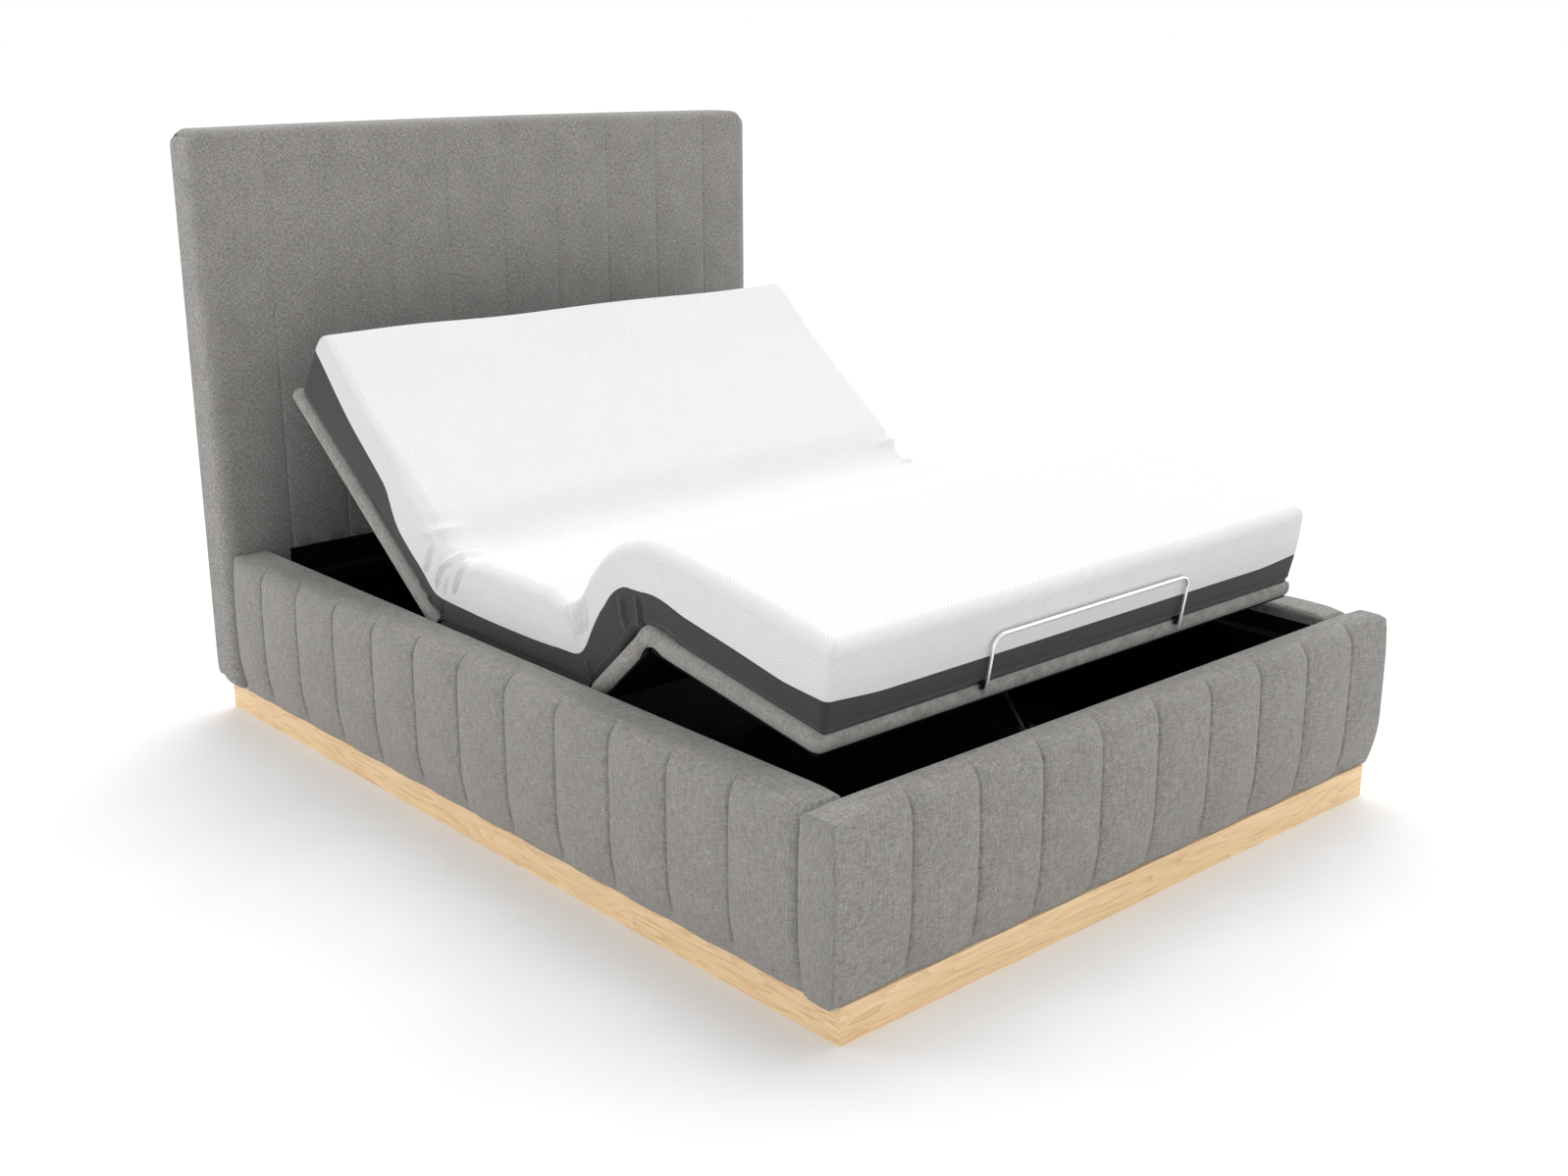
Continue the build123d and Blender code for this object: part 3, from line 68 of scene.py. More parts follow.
KNEE_Z = PIVOT_Z + THIGH_L * math.sin(THIGH_A)
KNEE_A = THIGH_A + LEG_A


# ------------------------------------------------------------------ mesh helpers
def steps(a, b, size):
    n = max(1, int(math.ceil(abs(b - a) / size - 1e-6)))
    return list(np.linspace(a, b, n + 1))


def lines(*lists):
    v = sorted(x for l in lists for x in l)
    out = [v[0]]
    for x in v[1:]:
        if x - out[-1] > 0.05:
            out.append(x)
    return np.array(out)


def lattice(xs, ys, zs, keep=None):
    """Closed quad skin of a block on three sets of grid lines. keep(x, y, z) of
    cell middles says which cells are filled. Returns points, quads and, for each
    quad, its outward axis as +-1, +-2 or +-3."""
    nx, ny, nz = len(xs) - 1, len(ys) - 1, len(zs) - 1
    mx, my, mz = ((np.asarray(a)[1:] + np.asarray(a)[:-1]) / 2 for a in (xs, ys, zs))
    full = np.ones((nx, ny, nz), bool)
    if keep is not None:
        full = keep(*np.meshgrid(mx, my, mz, indexing="ij"))
    p = np.pad(full, 1)
    c = p[1:-1, 1:-1, 1:-1]

    def corner(i, j, k):
        return (i * (ny + 1) + j) * (nz + 1) + k

    quads, tags = [], []
    for axis, side, near in ((0, 1, p[2:, 1:-1, 1:-1]), (0, -1, p[:-2, 1:-1, 1:-1]),
                             (1, 1, p[1:-1, 2:, 1:-1]), (1, -1, p[1:-1, :-2, 1:-1]),
                             (2, 1, p[1:-1, 1:-1, 2:]), (2, -1, p[1:-1, 1:-1, :-2])):
        i, j, k = np.nonzero(c & ~near)
        o = 1 if side > 0 else 0
        if axis == 0:
            q = [(i + o, j, k), (i + o, j + 1, k), (i + o, j + 1, k + 1), (i + o, j, k + 1)]
        elif axis == 1:
            q = [(i, j + o, k), (i, j + o, k + 1), (i + 1, j + o, k + 1), (i + 1, j + o, k)]
        else:
            q = [(i, j, k + o), (i + 1, j, k + o), (i + 1, j + 1, k + o), (i, j + 1, k + o)]
        if side < 0:
            q = q[::-1]
        quads.append(np.stack([corner(*v) for v in q], 1))
        tags.append(np.full(len(i), side * (axis + 1)))
    quads, tags = np.concatenate(quads), np.concatenate(tags)
    used, inverse = np.unique(quads, return_inverse=True)
    k = used % (nz + 1)
    j = (used // (nz + 1)) % (ny + 1)
    i = used // ((nz + 1) * (ny + 1))
    pts = np.stack([np.asarray(xs)[i], np.asarray(ys)[j], np.asarray(zs)[k]], 1)
    return pts, inverse.reshape(quads.shape), tags


def round_corner(P, i, j, ci, cj, si, sj, r):
    """Rounds the edge at (ci, cj) in axes i, j; si and sj point outwards."""
    a, b = (P[:, i] - ci) * si + r, (P[:, j] - cj) * sj + r
    m = (a > 0) & (b > 0)
    d = np.hypot(a, b)
    c = np.maximum(a, b)
    f = np.where(m & (d > 1e-9), c / np.maximum(d, 1e-9), 1.0)
    P[:, i] = np.where(m, ci + si * (a * f - r), P[:, i])
    P[:, j] = np.where(m, cj + sj * (b * f - r), P[:, j])


def make(name, P, quads, cloth, mats, slots=None, normals=None, sharp=42):
    me = bpy.data.meshes.new(name)
    me.from_pydata((P / 1000.0).tolist(), [], quads.tolist())
    me.update()
    a = me.attributes.new("cloth", "FLOAT_VECTOR", "POINT")
    a.data.foreach_set("vector", (np.asarray(cloth) / 1000.0).astype(np.float32).ravel())
    for m in mats:
        me.materials.append(m)
    if slots is not None:
        me.polygons.foreach_set("material_index", np.asarray(slots, np.int32))
    me.polygons.foreach_set("use_smooth", np.ones(len(quads), bool))
    if normals is None:
        me.set_sharp_from_angle(angle=math.radians(sharp))
    else:
        me.normals_split_custom_set(normals.tolist())
    o = bpy.data.objects.new(name, me)
    scene.collection.objects.link(o)
    return o


def smooth(t):
    t = np.clip(t, 0, 1)
    return t * t * (3 - 2 * t)


rng = np.random.RandomState(7)
WAVES = [(rng.uniform(-1, 1, 3), rng.uniform(0, 6.28)) for _ in range(60)]


def lumps(P, size, seed=0, n=9):
    """Smooth seeded unevenness of about that size, -1 to 1."""
    s = np.zeros(len(P))
    for q in range(n):
        d, ph = WAVES[(seed * 7 + q) % len(WAVES)]
        d = d / np.linalg.norm(d)
        s += np.sin(P @ d * (6.283 / size) * (0.7 + 0.6 * (q / n)) + ph)
    return s / (0.7 * n)


# --------------------------------------------------------------------- materials
def material(name):
    m = bpy.data.materials.new(name)
    m.use_nodes = True
    nt = m.node_tree
    b = nt.nodes["Principled BSDF"]
    return m, nt, b


def node(nt, kind, **inputs):
    n = nt.nodes.new(kind)
    for k, v in inputs.items():
        if k in n.inputs:
            n.inputs[k].default_value = v
        else:
            setattr(n, k, v)
    return n


def scaled(nt, src, scale, rotate=(0, 0, 0)):
    n = nt.nodes.new("ShaderNodeMapping")
    n.inputs["Scale"].default_value = scale
    n.inputs["Rotation"].default_value = rotate
    nt.links.new(src, n.inputs["Vector"])
    return n.outputs["Vector"]


def noise(nt, vec, scale=1.0, detail=2.0, rough=0.5, distortion=0.0):
    n = nt.nodes.new("ShaderNodeTexNoise")
    n.inputs["Scale"].default_value = scale
    n.inputs["Detail"].default_value = detail
    n.inputs["Roughness"].default_value = rough
    n.inputs["Distortion"].default_value = distortion
    nt.links.new(vec, n.inputs["Vector"])
    return n.outputs["Fac"]


def wave(nt, vec, scale, direction="X", distortion=0.0, detail=0.0, dscale=1.0):
    n = nt.nodes.new("ShaderNodeTexWave")
    n.bands_direction = direction
    n.inputs["Scale"].default_value = scale
    n.inputs["Distortion"].default_value = distortion
    n.inputs["Detail"].default_value = detail
    n.inputs["Detail Scale"].default_value = dscale
    nt.links.new(vec, n.inputs["Vector"])
    return n.outputs["Fac"]


def maths(nt, op, a, b=None, c=None):
    n = nt.nodes.new("ShaderNodeMath")
    n.operation = op
    for k, v in enumerate((a, b, c)):
        if v is None:
            continue
        if isinstance(v, (int, float)):
            n.inputs[k].default_value = v
        else:
            nt.links.new(v, n.inputs[k])
    return n.outputs[0]


def ramp(nt, fac, stops):
    n = nt.nodes.new("ShaderNodeValToRGB")
    e = n.color_ramp.elements
    e[0].position, e[0].color = stops[0][0], (*stops[0][1], 1)
    e[1].position, e[1].color = stops[-1][0], (*stops[-1][1], 1)
    for pos, col in stops[1:-1]:
        x = e.new(pos)
        x.color = (*col, 1)
    nt.links.new(fac, n.inputs["Fac"])
    return n.outputs["Color"]


def mix(nt, fac, a, b, kind="MIX"):
    n = nt.nodes.new("ShaderNodeMix")
    n.data_type = "RGBA"
    n.blend_type = kind
    if isinstance(fac, (int, float)):
        n.inputs[0].default_value = fac
    else:
        nt.links.new(fac, n.inputs[0])
    for k, v in ((6, a), (7, b)):
        if isinstance(v, tuple):
            n.inputs[k].default_value = (*v, 1)
        else:
            nt.links.new(v, n.inputs[k])
    return n.outputs[2]


def bump(nt, b, height, distance, strength=1.0, normal=None):
    n = nt.nodes.new("ShaderNodeBump")
    n.inputs["Strength"].default_value = strength
    n.inputs["Distance"].default_value = distance
    nt.links.new(height, n.inputs["Height"])
    if normal is not None:
        nt.links.new(normal, n.inputs["Normal"])
    nt.links.new(n.outputs["Normal"], b.inputs["Normal"])
    return n.outputs["Normal"]


def cloth_vec(nt):
    n = nt.nodes.new("ShaderNodeAttribute")
    n.attribute_name = "cloth"
    return n.outputs["Vector"]


def object_vec(nt):
    return nt.nodes.new("ShaderNodeTexCoord").outputs["Object"]


def grey(v, warm=1.0):
    return (v * (1 + 0.035 * warm), v, v * (1 - 0.045 * warm))


def woven(name, low, mid, high, sheen=0.2, thread=52):
    """Heathered upholstery weave: two thread directions with slubs, mottling, fuzz."""
    m, nt, b = material(name)
    v = cloth_vec(nt)
    along = noise(nt, scaled(nt, v, (thread, 430, 430)), 1, 2, 0.6)
    across = noise(nt, scaled(nt, v, (430, thread, thread)), 1, 2, 0.6)
    fine_a = noise(nt, scaled(nt, v, (150, 1000, 1000)), 1, 1, 0.5)
    fine_b = noise(nt, scaled(nt, v, (1000, 150, 150)), 1, 1, 0.5)
    fleck = noise(nt, v, 430, 2, 0.7)
    cloud = noise(nt, v, 11, 3, 0.55)
    t = maths(nt, "MULTIPLY_ADD", along, 0.30, maths(nt, "MULTIPLY", across, 0.30))
    t = maths(nt, "MULTIPLY_ADD", fine_a, 0.09, t)
    t = maths(nt, "MULTIPLY_ADD", fine_b, 0.09, t)
    t = maths(nt, "MULTIPLY_ADD", fleck, 0.42, t)
    t = maths(nt, "MULTIPLY_ADD", cloud, 0.07, t)
    col = ramp(nt, t, [(0.485, grey(low)), (0.635, grey(mid)), (0.785, grey(high))])
    nt.links.new(col, b.inputs["Base Color"])
    b.inputs["Roughness"].default_value = 0.92
    b.inputs["Specular IOR Level"].default_value = 0.2
    b.inputs["Sheen Weight"].default_value = sheen
    b.inputs["Sheen Roughness"].default_value = 0.45
    b.inputs["Sheen Tint"].default_value = (0.9, 0.88, 0.85, 1)
    bump(nt, b, t, 0.0035, 0.5)
    return m


def dot(nt, vec, d):
    n = nt.nodes.new("ShaderNodeVectorMath")
    n.operation = "DOT_PRODUCT"
    n.inputs[1].default_value = d
    nt.links.new(vec, n.inputs[0])
    return n.outputs["Value"]


def ticking(name, low, high, depth, sheen=0.1, rough=0.8, side_shade=1.0):
    """Stretch knit with a fine diagonal rib and a fainter one across it; the last argument is
    painted shade, the tone of the cloth on the sides against the top."""
    m, nt, b = material(name)
    v = cloth_vec(nt)
    turn = 2 * math.pi
    wobble = maths(nt, "MULTIPLY", noise(nt, v, 26, 2, 0.5), 3.0)
    rib = maths(nt, "SINE", maths(nt, "ADD", dot(nt, v, (-turn / 0.0095, turn / 0.0095, turn / 0.0056)), wobble))
    cross = maths(nt, "SINE", maths(nt, "ADD", dot(nt, v, (turn / 0.0120, turn / 0.0120, -turn / 0.0070)), wobble))
    slub = noise(nt, scaled(nt, v, (420, 40, 420)), 1, 2, 0.6)
    cloud = noise(nt, v, 12, 2, 0.5)
    t = maths(nt, "MULTIPLY_ADD", rib, 0.22, 0.32)
    t = maths(nt, "MULTIPLY_ADD", cross, 0.09, t)
    t = maths(nt, "MULTIPLY_ADD", slub, 0.22, t)
    t = maths(nt, "MULTIPLY_ADD", cloud, 0.14, t)
    tone = nt.nodes.new("ShaderNodeVectorMath")
    tone.operation = "SCALE"
    nt.links.new(ramp(nt, t, [(0.15, low), (0.85, high)]), tone.inputs[0])
    # painted shade: up is 1 on the top and 0 on the sides, where the tone is scaled down by the last argument
    up = maths(nt, "MINIMUM", maths(nt, "MAXIMUM", maths(nt, "MULTIPLY_ADD", dot(nt, v, (0, 0, 1)), 1 / 0.024, -0.150 / 0.024), 0.0), 1.0)
    nt.links.new(maths(nt, "MULTIPLY_ADD", up, 1 - side_shade, side_shade), tone.inputs["Scale"])
    nt.links.new(tone.outputs[0], b.inputs["Base Color"])
    b.inputs["Roughness"].default_value = rough
    b.inputs["Specular IOR Level"].default_value = 0.25
    b.inputs["Sheen Weight"].default_value = sheen
    b.inputs["Sheen Roughness"].default_value = 0.5
    bump(nt, b, t, depth, 0.5)
    return m


def oak(name, along):
    """Pale oak with long cathedral grain; along is the board's length axis."""
    m, nt, b = material(name)
    v = object_vec(nt)
    s = [17.0, 17.0, 17.0]
    s[along] = 1.5
    warp = noise(nt, scaled(nt, v, tuple(x * 0.55 for x in s)), 1, 3, 0.55)
    wv = nt.nodes.new("ShaderNodeVectorMath")
    wv.operation = "MULTIPLY_ADD"
    nt.links.new(scaled(nt, v, tuple(s)), wv.inputs[0])
    wv.inputs[1].default_value = (1, 1, 1)
    comb = nt.nodes.new("ShaderNodeCombineXYZ")
    for k in range(3):
        nt.links.new(maths(nt, "MULTIPLY", warp, 0.9 if k != along else 0.15), comb.inputs[k])
    nt.links.new(comb.outputs[0], wv.inputs[2])
    rings = nt.nodes.new("ShaderNodeTexNoise")
    rings.inputs["Scale"].default_value = 1.3
    rings.inputs["Detail"].default_value = 2
    nt.links.new(wv.outputs[0], rings.inputs["Vector"])
    bands = maths(nt, "FRACT", maths(nt, "MULTIPLY", rings.outputs["Fac"], 11.0))
    bands = maths(nt, "POWER", bands, 1.8)
    f = [620.0, 620.0, 620.0]
    f[along] = 9.0
    pores = noise(nt, scaled(nt, v, tuple(f)), 1, 2, 0.6)
    g = [160.0, 160.0, 160.0]
    g[along] = 3.5
    streak = noise(nt, scaled(nt, v, tuple(g)), 1, 3, 0.6)
    tone = noise(nt, scaled(nt, v, (3, 3, 9)), 1, 1, 0.5)
    t = maths(nt, "MULTIPLY_ADD", bands, 0.27, maths(nt, "MULTIPLY", streak, 0.62))
    t = maths(nt, "MULTIPLY_ADD", tone, 0.22, t)
    col = ramp(nt, t, [(0.28, (0.97, 0.745, 0.46)), (0.50, (0.90, 0.655, 0.39)), (0.72, (0.79, 0.54, 0.30)), (0.92, (0.66, 0.42, 0.215))])
    dark = ramp(nt, pores, [(0.30, (0.62, 0.55, 0.47)), (0.42, (1, 1, 1))])
    nt.links.new(mix(nt, 0.75, col, dark, "MULTIPLY"), b.inputs["Base Color"])
    rg = maths(nt, "MULTIPLY_ADD", streak, 0.25, 0.42)
    nt.links.new(rg, b.inputs["Roughness"])
    b.inputs["Specular IOR Level"].default_value = 0.35
    bump(nt, b, maths(nt, "MULTIPLY_ADD", pores, 0.6, bands), 0.0006, 0.35)
    return m


def ply(name):
    m, nt, b = material(name)
    v = object_vec(nt)
    g = noise(nt, scaled(nt, v, (90, 4, 90)), 1, 3, 0.6)
    h = noise(nt, scaled(nt, v, (500, 12, 500)), 1, 2, 0.5)
    t = maths(nt, "MULTIPLY_ADD", g, 0.7, maths(nt, "MULTIPLY", h, 0.3))
    nt.links.new(ramp(nt, t, [(0.3, (0.62, 0.45, 0.27)), (0.7, (0.42, 0.28, 0.15))]), b.inputs["Base Color"])
    b.inputs["Roughness"].default_value = 0.62
    bump(nt, b, t, 0.0008, 0.4)
    return m


def coated(name, low, high, rough_lo, rough_hi, grain, depth, metallic=0.0, spec=0.5, stretch=(1, 1, 1)):
    """Painted, plated or moulded surface with fine grain, rub marks on a larger scale."""
    m, nt, b = material(name)
    v = object_vec(nt)
    fine = noise(nt, scaled(nt, v, stretch), grain, 2, 0.6)
    rub = noise(nt, v, 14, 3, 0.6)
    t = maths(nt, "MULTIPLY_ADD", fine, 0.45, maths(nt, "MULTIPLY", rub, 0.55))
    nt.links.new(ramp(nt, t, [(0.3, low), (0.7, high)]), b.inputs["Base Color"])
    r = nt.nodes.new("ShaderNodeMapRange")
    r.inputs["From Min"].default_value = 0.3
    r.inputs["From Max"].default_value = 0.7
    r.inputs["To Min"].default_value = rough_lo
    r.inputs["To Max"].default_value = rough_hi
    nt.links.new(rub, r.inputs["Value"])
    nt.links.new(r.outputs[0], b.inputs["Roughness"])
    b.inputs["Metallic"].default_value = metallic
    b.inputs["Specular IOR Level"].default_value = spec
    bump(nt, b, fine, depth, 0.4)
    return m


M_FABRIC = woven("weave_grey", 0.150, 0.268, 0.415)
M_BOARD = woven("weave_grey_headboard", 0.105, 0.262, 0.490, thread=120)
M_PAD = woven("weave_grey_deck", 0.160, 0.280, 0.435)
# charcoal seat cover: painted shade, dark cloth where the seat pad's edge lies in shadow under the mattress's overhang
M_SEAT_PAINTED_SHADE = woven("weave_charcoal_painted_shade", 0.024, 0.040, 0.064, 0.15)
# the last argument, 0.86, darkens the mattress sides against the top: painted shade
M_WHITE = ticking("ticking_white", (0.76, 0.76, 0.76), (0.92, 0.92, 0.92), 0.0024, 0.1, 0.75, 0.86)
M_DARK = ticking("ticking_charcoal", (0.020, 0.020, 0.020), (0.050, 0.050, 0.049), 0.0020, 0.2, 0.8)
M_OAK_X = oak("oak_end_boards", 0)
M_OAK_Y = oak("oak_side_boards", 1)
M_PLY = ply("plywood_pale")
M_BLACK = coated("board_black", (0.003, 0.003, 0.003), (0.007, 0.007, 0.007), 0.75, 0.92, 260, 0.0006, 0.0, 0.1)
M_LINING = coated("lining_black", (0.003, 0.003, 0.003), (0.006, 0.006, 0.006), 0.88, 0.97, 500, 0.001, 0.0, 0.06)
M_STEEL = coated("steel_black", (0.003, 0.003, 0.0032), (0.008, 0.008, 0.0083), 0.62, 0.80, 700, 0.0005, 0.0, 0.15)
M_MATT = coated("steel_black_matt", (0.003, 0.003, 0.003), (0.006, 0.006, 0.006), 0.86, 0.96, 600, 0.0007, 0.0, 0.04)
M_ZINC = coated("steel_zinc", (0.62, 0.63, 0.65), (0.78, 0.79, 0.80), 0.26, 0.42, 420, 0.0003, 1.0, 0.5, (1, 0.1, 1))
M_WIRE = coated("wire_bright", (0.86, 0.86, 0.87), (0.96, 0.96, 0.96), 0.22, 0.34, 300, 0.0002, 0.85, 0.5)
M_STRUT = coated("steel_black_gloss", (0.006, 0.006, 0.006), (0.013, 0.013, 0.013), 0.20, 0.32, 700, 0.0003, 0.0, 0.5)
M_PLASTIC = coated("plastic_black", (0.006, 0.006, 0.006), (0.012, 0.012, 0.012), 0.45, 0.62, 900, 0.0005, 0.0, 0.3)
M_PLASTIC_G = coated("plastic_grey", (0.17, 0.17, 0.175), (0.23, 0.23, 0.235), 0.42, 0.6, 900, 0.0005)

CAD_MATERIAL = {
    "plinth_end_boards": M_OAK_X, "plinth_side_boards": M_OAK_Y, "base_panel": M_BLACK,
    "side_rail_frames": M_BLACK, "foot_rail_frame": M_BLACK, "headboard_frame": M_PLY,
    "headboard_lining": M_LINING, "frame_side_tubes": M_MATT, "frame_cross_tubes": M_MATT, "frame_support_angles": M_MATT,
    "retainer_bar": M_WIRE, "prop_strut": M_STRUT,
}
SLOT_MATERIAL = {
    "fabric_grey": M_FABRIC, "fabric_black": M_LINING, "oak": M_OAK_X, "pine": M_PLY, "board_black": M_BLACK,
    "steel_black": M_STEEL, "steel_zinc": M_ZINC, "plastic_black": M_PLASTIC, "plastic_grey": M_PLASTIC_G,
    "wire_white": M_WIRE, "mattress_fabric": M_WHITE,
}
node_slot = {row["node"]: row["material_slot"] for row in frame["record"]["subparts"]}
for n, o in NODES.items():
    m = CAD_MATERIAL.get(n) or SLOT_MATERIAL.get(node_slot.get(n), M_STEEL)
    o.data.materials.clear()
    o.data.materials.append(m)


# ------------------------------------------------------------- channelled covers
NEAR = (0.0, 1.1, 2.6, 4.8, 8.0, 13.0, 20.0, 30.0, 44.0, 62.0)


def channel_lines(seams):
    """Grid lines along a channelled cover: close together beside each seam."""
    out = []
    for a, b in zip(seams[:-1], seams[1:]):
        h = (b - a) / 2
        for d in NEAR:
            if d < h - 4:
                out += [a + d, b - d]
        out.append((a + b) / 2)
    return lines(out + list(seams))


def groove(t, seams):
    """How far a channelled cover is drawn in: a shallow crown over each channel and
    a tight valley at the stitching. 0 in the middle of a channel, 1 on a seam."""
    s = np.asarray(seams)
    k = np.clip(np.searchsorted(s, t, side="right") - 1, 0, len(s) - 2)
    a, b = s[k], s[k + 1]
    x = np.abs(2 * (t - a) / (b - a) - 1).clip(0, 1)
    near = np.maximum(np.minimum(t - a, b - t), 0)
    return 0.66 * x ** 2.8 + 0.34 * np.exp(-(near / 3.2) ** 2)


def rail_shape(P, out, along, seams, depth, wide, r):
    """Bows a rail cover and draws its seams in. out is the axis measured from the
    inner face, wide the thickness, r the radius of its top edge; only the padded
    outside moves, the pocket for the frame stays."""
    a, z = P[:, out].copy(), P[:, 2].copy()
    da, dz = a - (wide - r), z - (RAIL_TOP - r)
    turn = (da > 0) & (dz > 0)
    angle = np.where(turn, np.arctan2(np.maximum(dz, 0), np.maximum(da, 1e-6)), np.where(dz > 0, math.pi / 2, 0.0))
    inside = np.where(turn, r - np.hypot(da, dz), np.where(dz > 0, RAIL_TOP - z, wide - a))
    skin = np.clip(1 - inside / FOAM, 0, 1)
    low = 20.0 * np.clip((195 - z) / 123, 0, 1) ** 2
    high = 6.0 * np.clip((z - 310) / 105, 0, 1) ** 1.6 * np.cos(angle)
    d = depth * groove(P[:, along], seams) * np.cos(angle) ** 0.45
    d = np.minimum(d, np.maximum(FOAM - 1.5 - low, 0))
    P[:, out] -= skin * (low + high + d * np.cos(angle))
    P[:, 2] -= skin * d * np.sin(angle) * 0.7


def rail_lines(wide):
    return steps(0, 13, 2.6), steps(13, wide - 42, 9), [wide - FOAM], steps(wide - 42, wide, 4.2), [PLY]


RAIL_Z = (steps(72, 80, 2.7), steps(80, 373, 11), [LIP_Z, CORE_TOP], steps(373, 402, 4.8), steps(402, RAIL_TOP, 2.6))


def side_rail(side):
    seams = [FOOT_IN] + sorted(865.0 - 170.6 * k for k in range(11)) + [BOARD_FRONT]
    ys = lines(channel_lines(seams), [FOOT_IN - 10.0])
    P, Q, tag = lattice(lines(*rail_lines(SIDE_T)), ys, lines(*RAIL_Z),
                        lambda a, y, z: (z > CORE_TOP) | (a > SIDE_T - FOAM) | ((a < PLY) & (z > LIP_Z)))
    cloth = np.stack([P[:, 1] + 3000 * side, P[:, 2], P[:, 0]], 1)
    top_r = 20.0 + 22.0 * smooth((BOARD_FRONT - P[:, 1]) / 150)
    round_corner(P, 0, 2, SIDE_T, RAIL_TOP, 1, 1, top_r)
    round_corner(P, 0, 2, 0, RAIL_TOP, -1, 1, 13)
    round_corner(P, 0, 2, SIDE_T, PLINTH_H, 1, -1, 6)
    rail_shape(P, 0, 1, seams, 13.0, SIDE_T, top_r)
    out = np.clip((P[:, 0] - SIDE_T + 23) / 20, 0, 1)
    end, gap = smooth((FOOT_IN + 58 - P[:, 1]) / 55), smooth((FOOT_IN + 17 - P[:, 1]) / 10)
    P[:, 0] -= out * (4.5 * end + 15.0 * gap)
    P[:, 2] -= (4.5 * end + 14.0 * smooth((FOOT_IN + 13 - P[:, 1]) / 12)) * np.clip((P[:, 2] - CORE_TOP) / (RAIL_TOP - CORE_TOP), 0, 1)
    P[:, 0] += out * 0.9 * lumps(P, 260, 1 + side)
    P[:, 0] = side * (RAIL_IN + P[:, 0])
    if side < 0:
        Q = Q[:, ::-1]
    o = make(("left" if side < 0 else "right") + "_rail_cover", P, Q, cloth, [M_FABRIC])
    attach(o, "bed_surround")
    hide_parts(("left" if side < 0 else "right") + "_rail_pad")


def foot_rail():
    seams = [-HALF_W - 60] + [-640.0 + 167.5 * k for k in range(9)] + [HALF_W + 60]
    near = (0, 0.7, 1.8, 3.2, 5.0, 7.5, 10.5, 14, 18)
    xs = lines([x for x in channel_lines(seams) if abs(x) < HALF_W - 20], *[[s * (HALF_W - d) for d in near] for s in (-1, 1)], [-809, 809])
    A = lines(*rail_lines(RAIL_T), [RAIL_T - d for d in near[:6]], [0, 2, 5, 9, 14])
    P, Q, tag = lattice(xs, A, lines(*RAIL_Z),
                        lambda x, a, z: (z > CORE_TOP) | (a > RAIL_T - FOAM) | ((a < PLY) & (z > LIP_Z)) | (abs(x) > 809))
    cloth = np.stack([P[:, 0], P[:, 2], P[:, 1]], 1)
    top_r = 28.0 + 14.0 * smooth((HALF_W - np.abs(P[:, 0])) / 150)
    round_corner(P, 1, 2, RAIL_T, RAIL_TOP, 1, 1, top_r)
    round_corner(P, 1, 2, 0, RAIL_TOP, -1, 1, 13.0 + 10.0 * smooth((np.abs(P[:, 0]) - 750) / 70))
    round_corner(P, 1, 2, RAIL_T, PLINTH_H, 1, -1, 6)
    # boxed ends: the outline turns over to the end face, tighter in front than behind
    sgn, far = np.sign(P[:, 0]), np.abs(P[:, 0])
    ra = np.clip(1 - (RAIL_T - P[:, 1]) / 12.0, 0, 1)
    rb = np.clip(1 - P[:, 1] / 15.0, 0, 1)
    rt = np.clip(1 - (RAIL_TOP - P[:, 2]) / 11.0, 0, 1)
    e = np.where(ra + rb + rt > 0, (12.0 * ra + 15.0 * rb + 11.0 * rt) / np.maximum(ra + rb + rt, 1e-6), 11.0)
    vec = np.stack([ra - rb, rt], 1)
    ln = np.linalg.norm(vec, axis=1)
    unit = vec / np.maximum(ln, 1e-6)[:, None]
    w = np.clip((far - (HALF_W - e)) / e, 0, 1)
    rim = np.clip(ln, 0, 1)
    both = (w > 0) & (rim > 0)
    c, d = np.maximum(w, rim), np.hypot(w, rim)
    f = np.where(both, c / np.maximum(d, 1e-6), 1.0)
    nw, nr = w * f, rim * f
    at = np.arctan2(nw, np.maximum(nr, 1e-6)) - math.pi / 4
    cloth[:, 0] = np.where((w > 0) & (nw >= nr), sgn * (HALF_W + RAIL_T - cloth[:, 2]), cloth[:, 0])
    stitch = 1.1 * np.exp(-(at * e / 1.3) ** 2) * (c > 0.97) * both * (1 - smooth(rb / 0.4))
    P[:, 0] = np.where(w > 0, sgn * (HALF_W - e + e * nw - 0.7 * stitch), P[:, 0])
    back = np.where(w > 0, e * (rim - nr) + 0.7 * stitch, 0)
    P[:, 1] -= unit[:, 0] * back
    P[:, 2] -= unit[:, 1] * back
    room = np.minimum(np.minimum(P[:, 1], RAIL_T - P[:, 1]), RAIL_TOP - P[:, 2])
    P[:, 0] += sgn * np.where(w > 0.98, 3.0 * smooth(room / 34), 0) - sgn * 2.5 * w
    end = np.clip((far - 809) / 25, 0, 1)
    P[:, 0] -= sgn * end * 13.0 * np.clip((195 - P[:, 2]) / 123, 0, 1) ** 2
    P[:, 1] -= 9.0 * end * smooth((20 - P[:, 1]) / 18) * np.sin(np.clip((P[:, 2] - 72) / (RAIL_TOP - 72), 0, 1) * math.pi) ** 0.5
    rail_shape(P, 1, 0, seams, 13.0, RAIL_T, top_r)
    out = np.clip((P[:, 1] - 66) / 20, 0, 1) * (w <= 0)
    P[:, 1] += out * 0.9 * lumps(P, 260, 4)
    P[:, 1] = FOOT_IN - P[:, 1]
    Q = Q[:, ::-1]
    o = make("foot_rail_cover", P, Q, cloth, [M_FABRIC])
    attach(o, "bed_surround")
    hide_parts("foot_rail_pad")


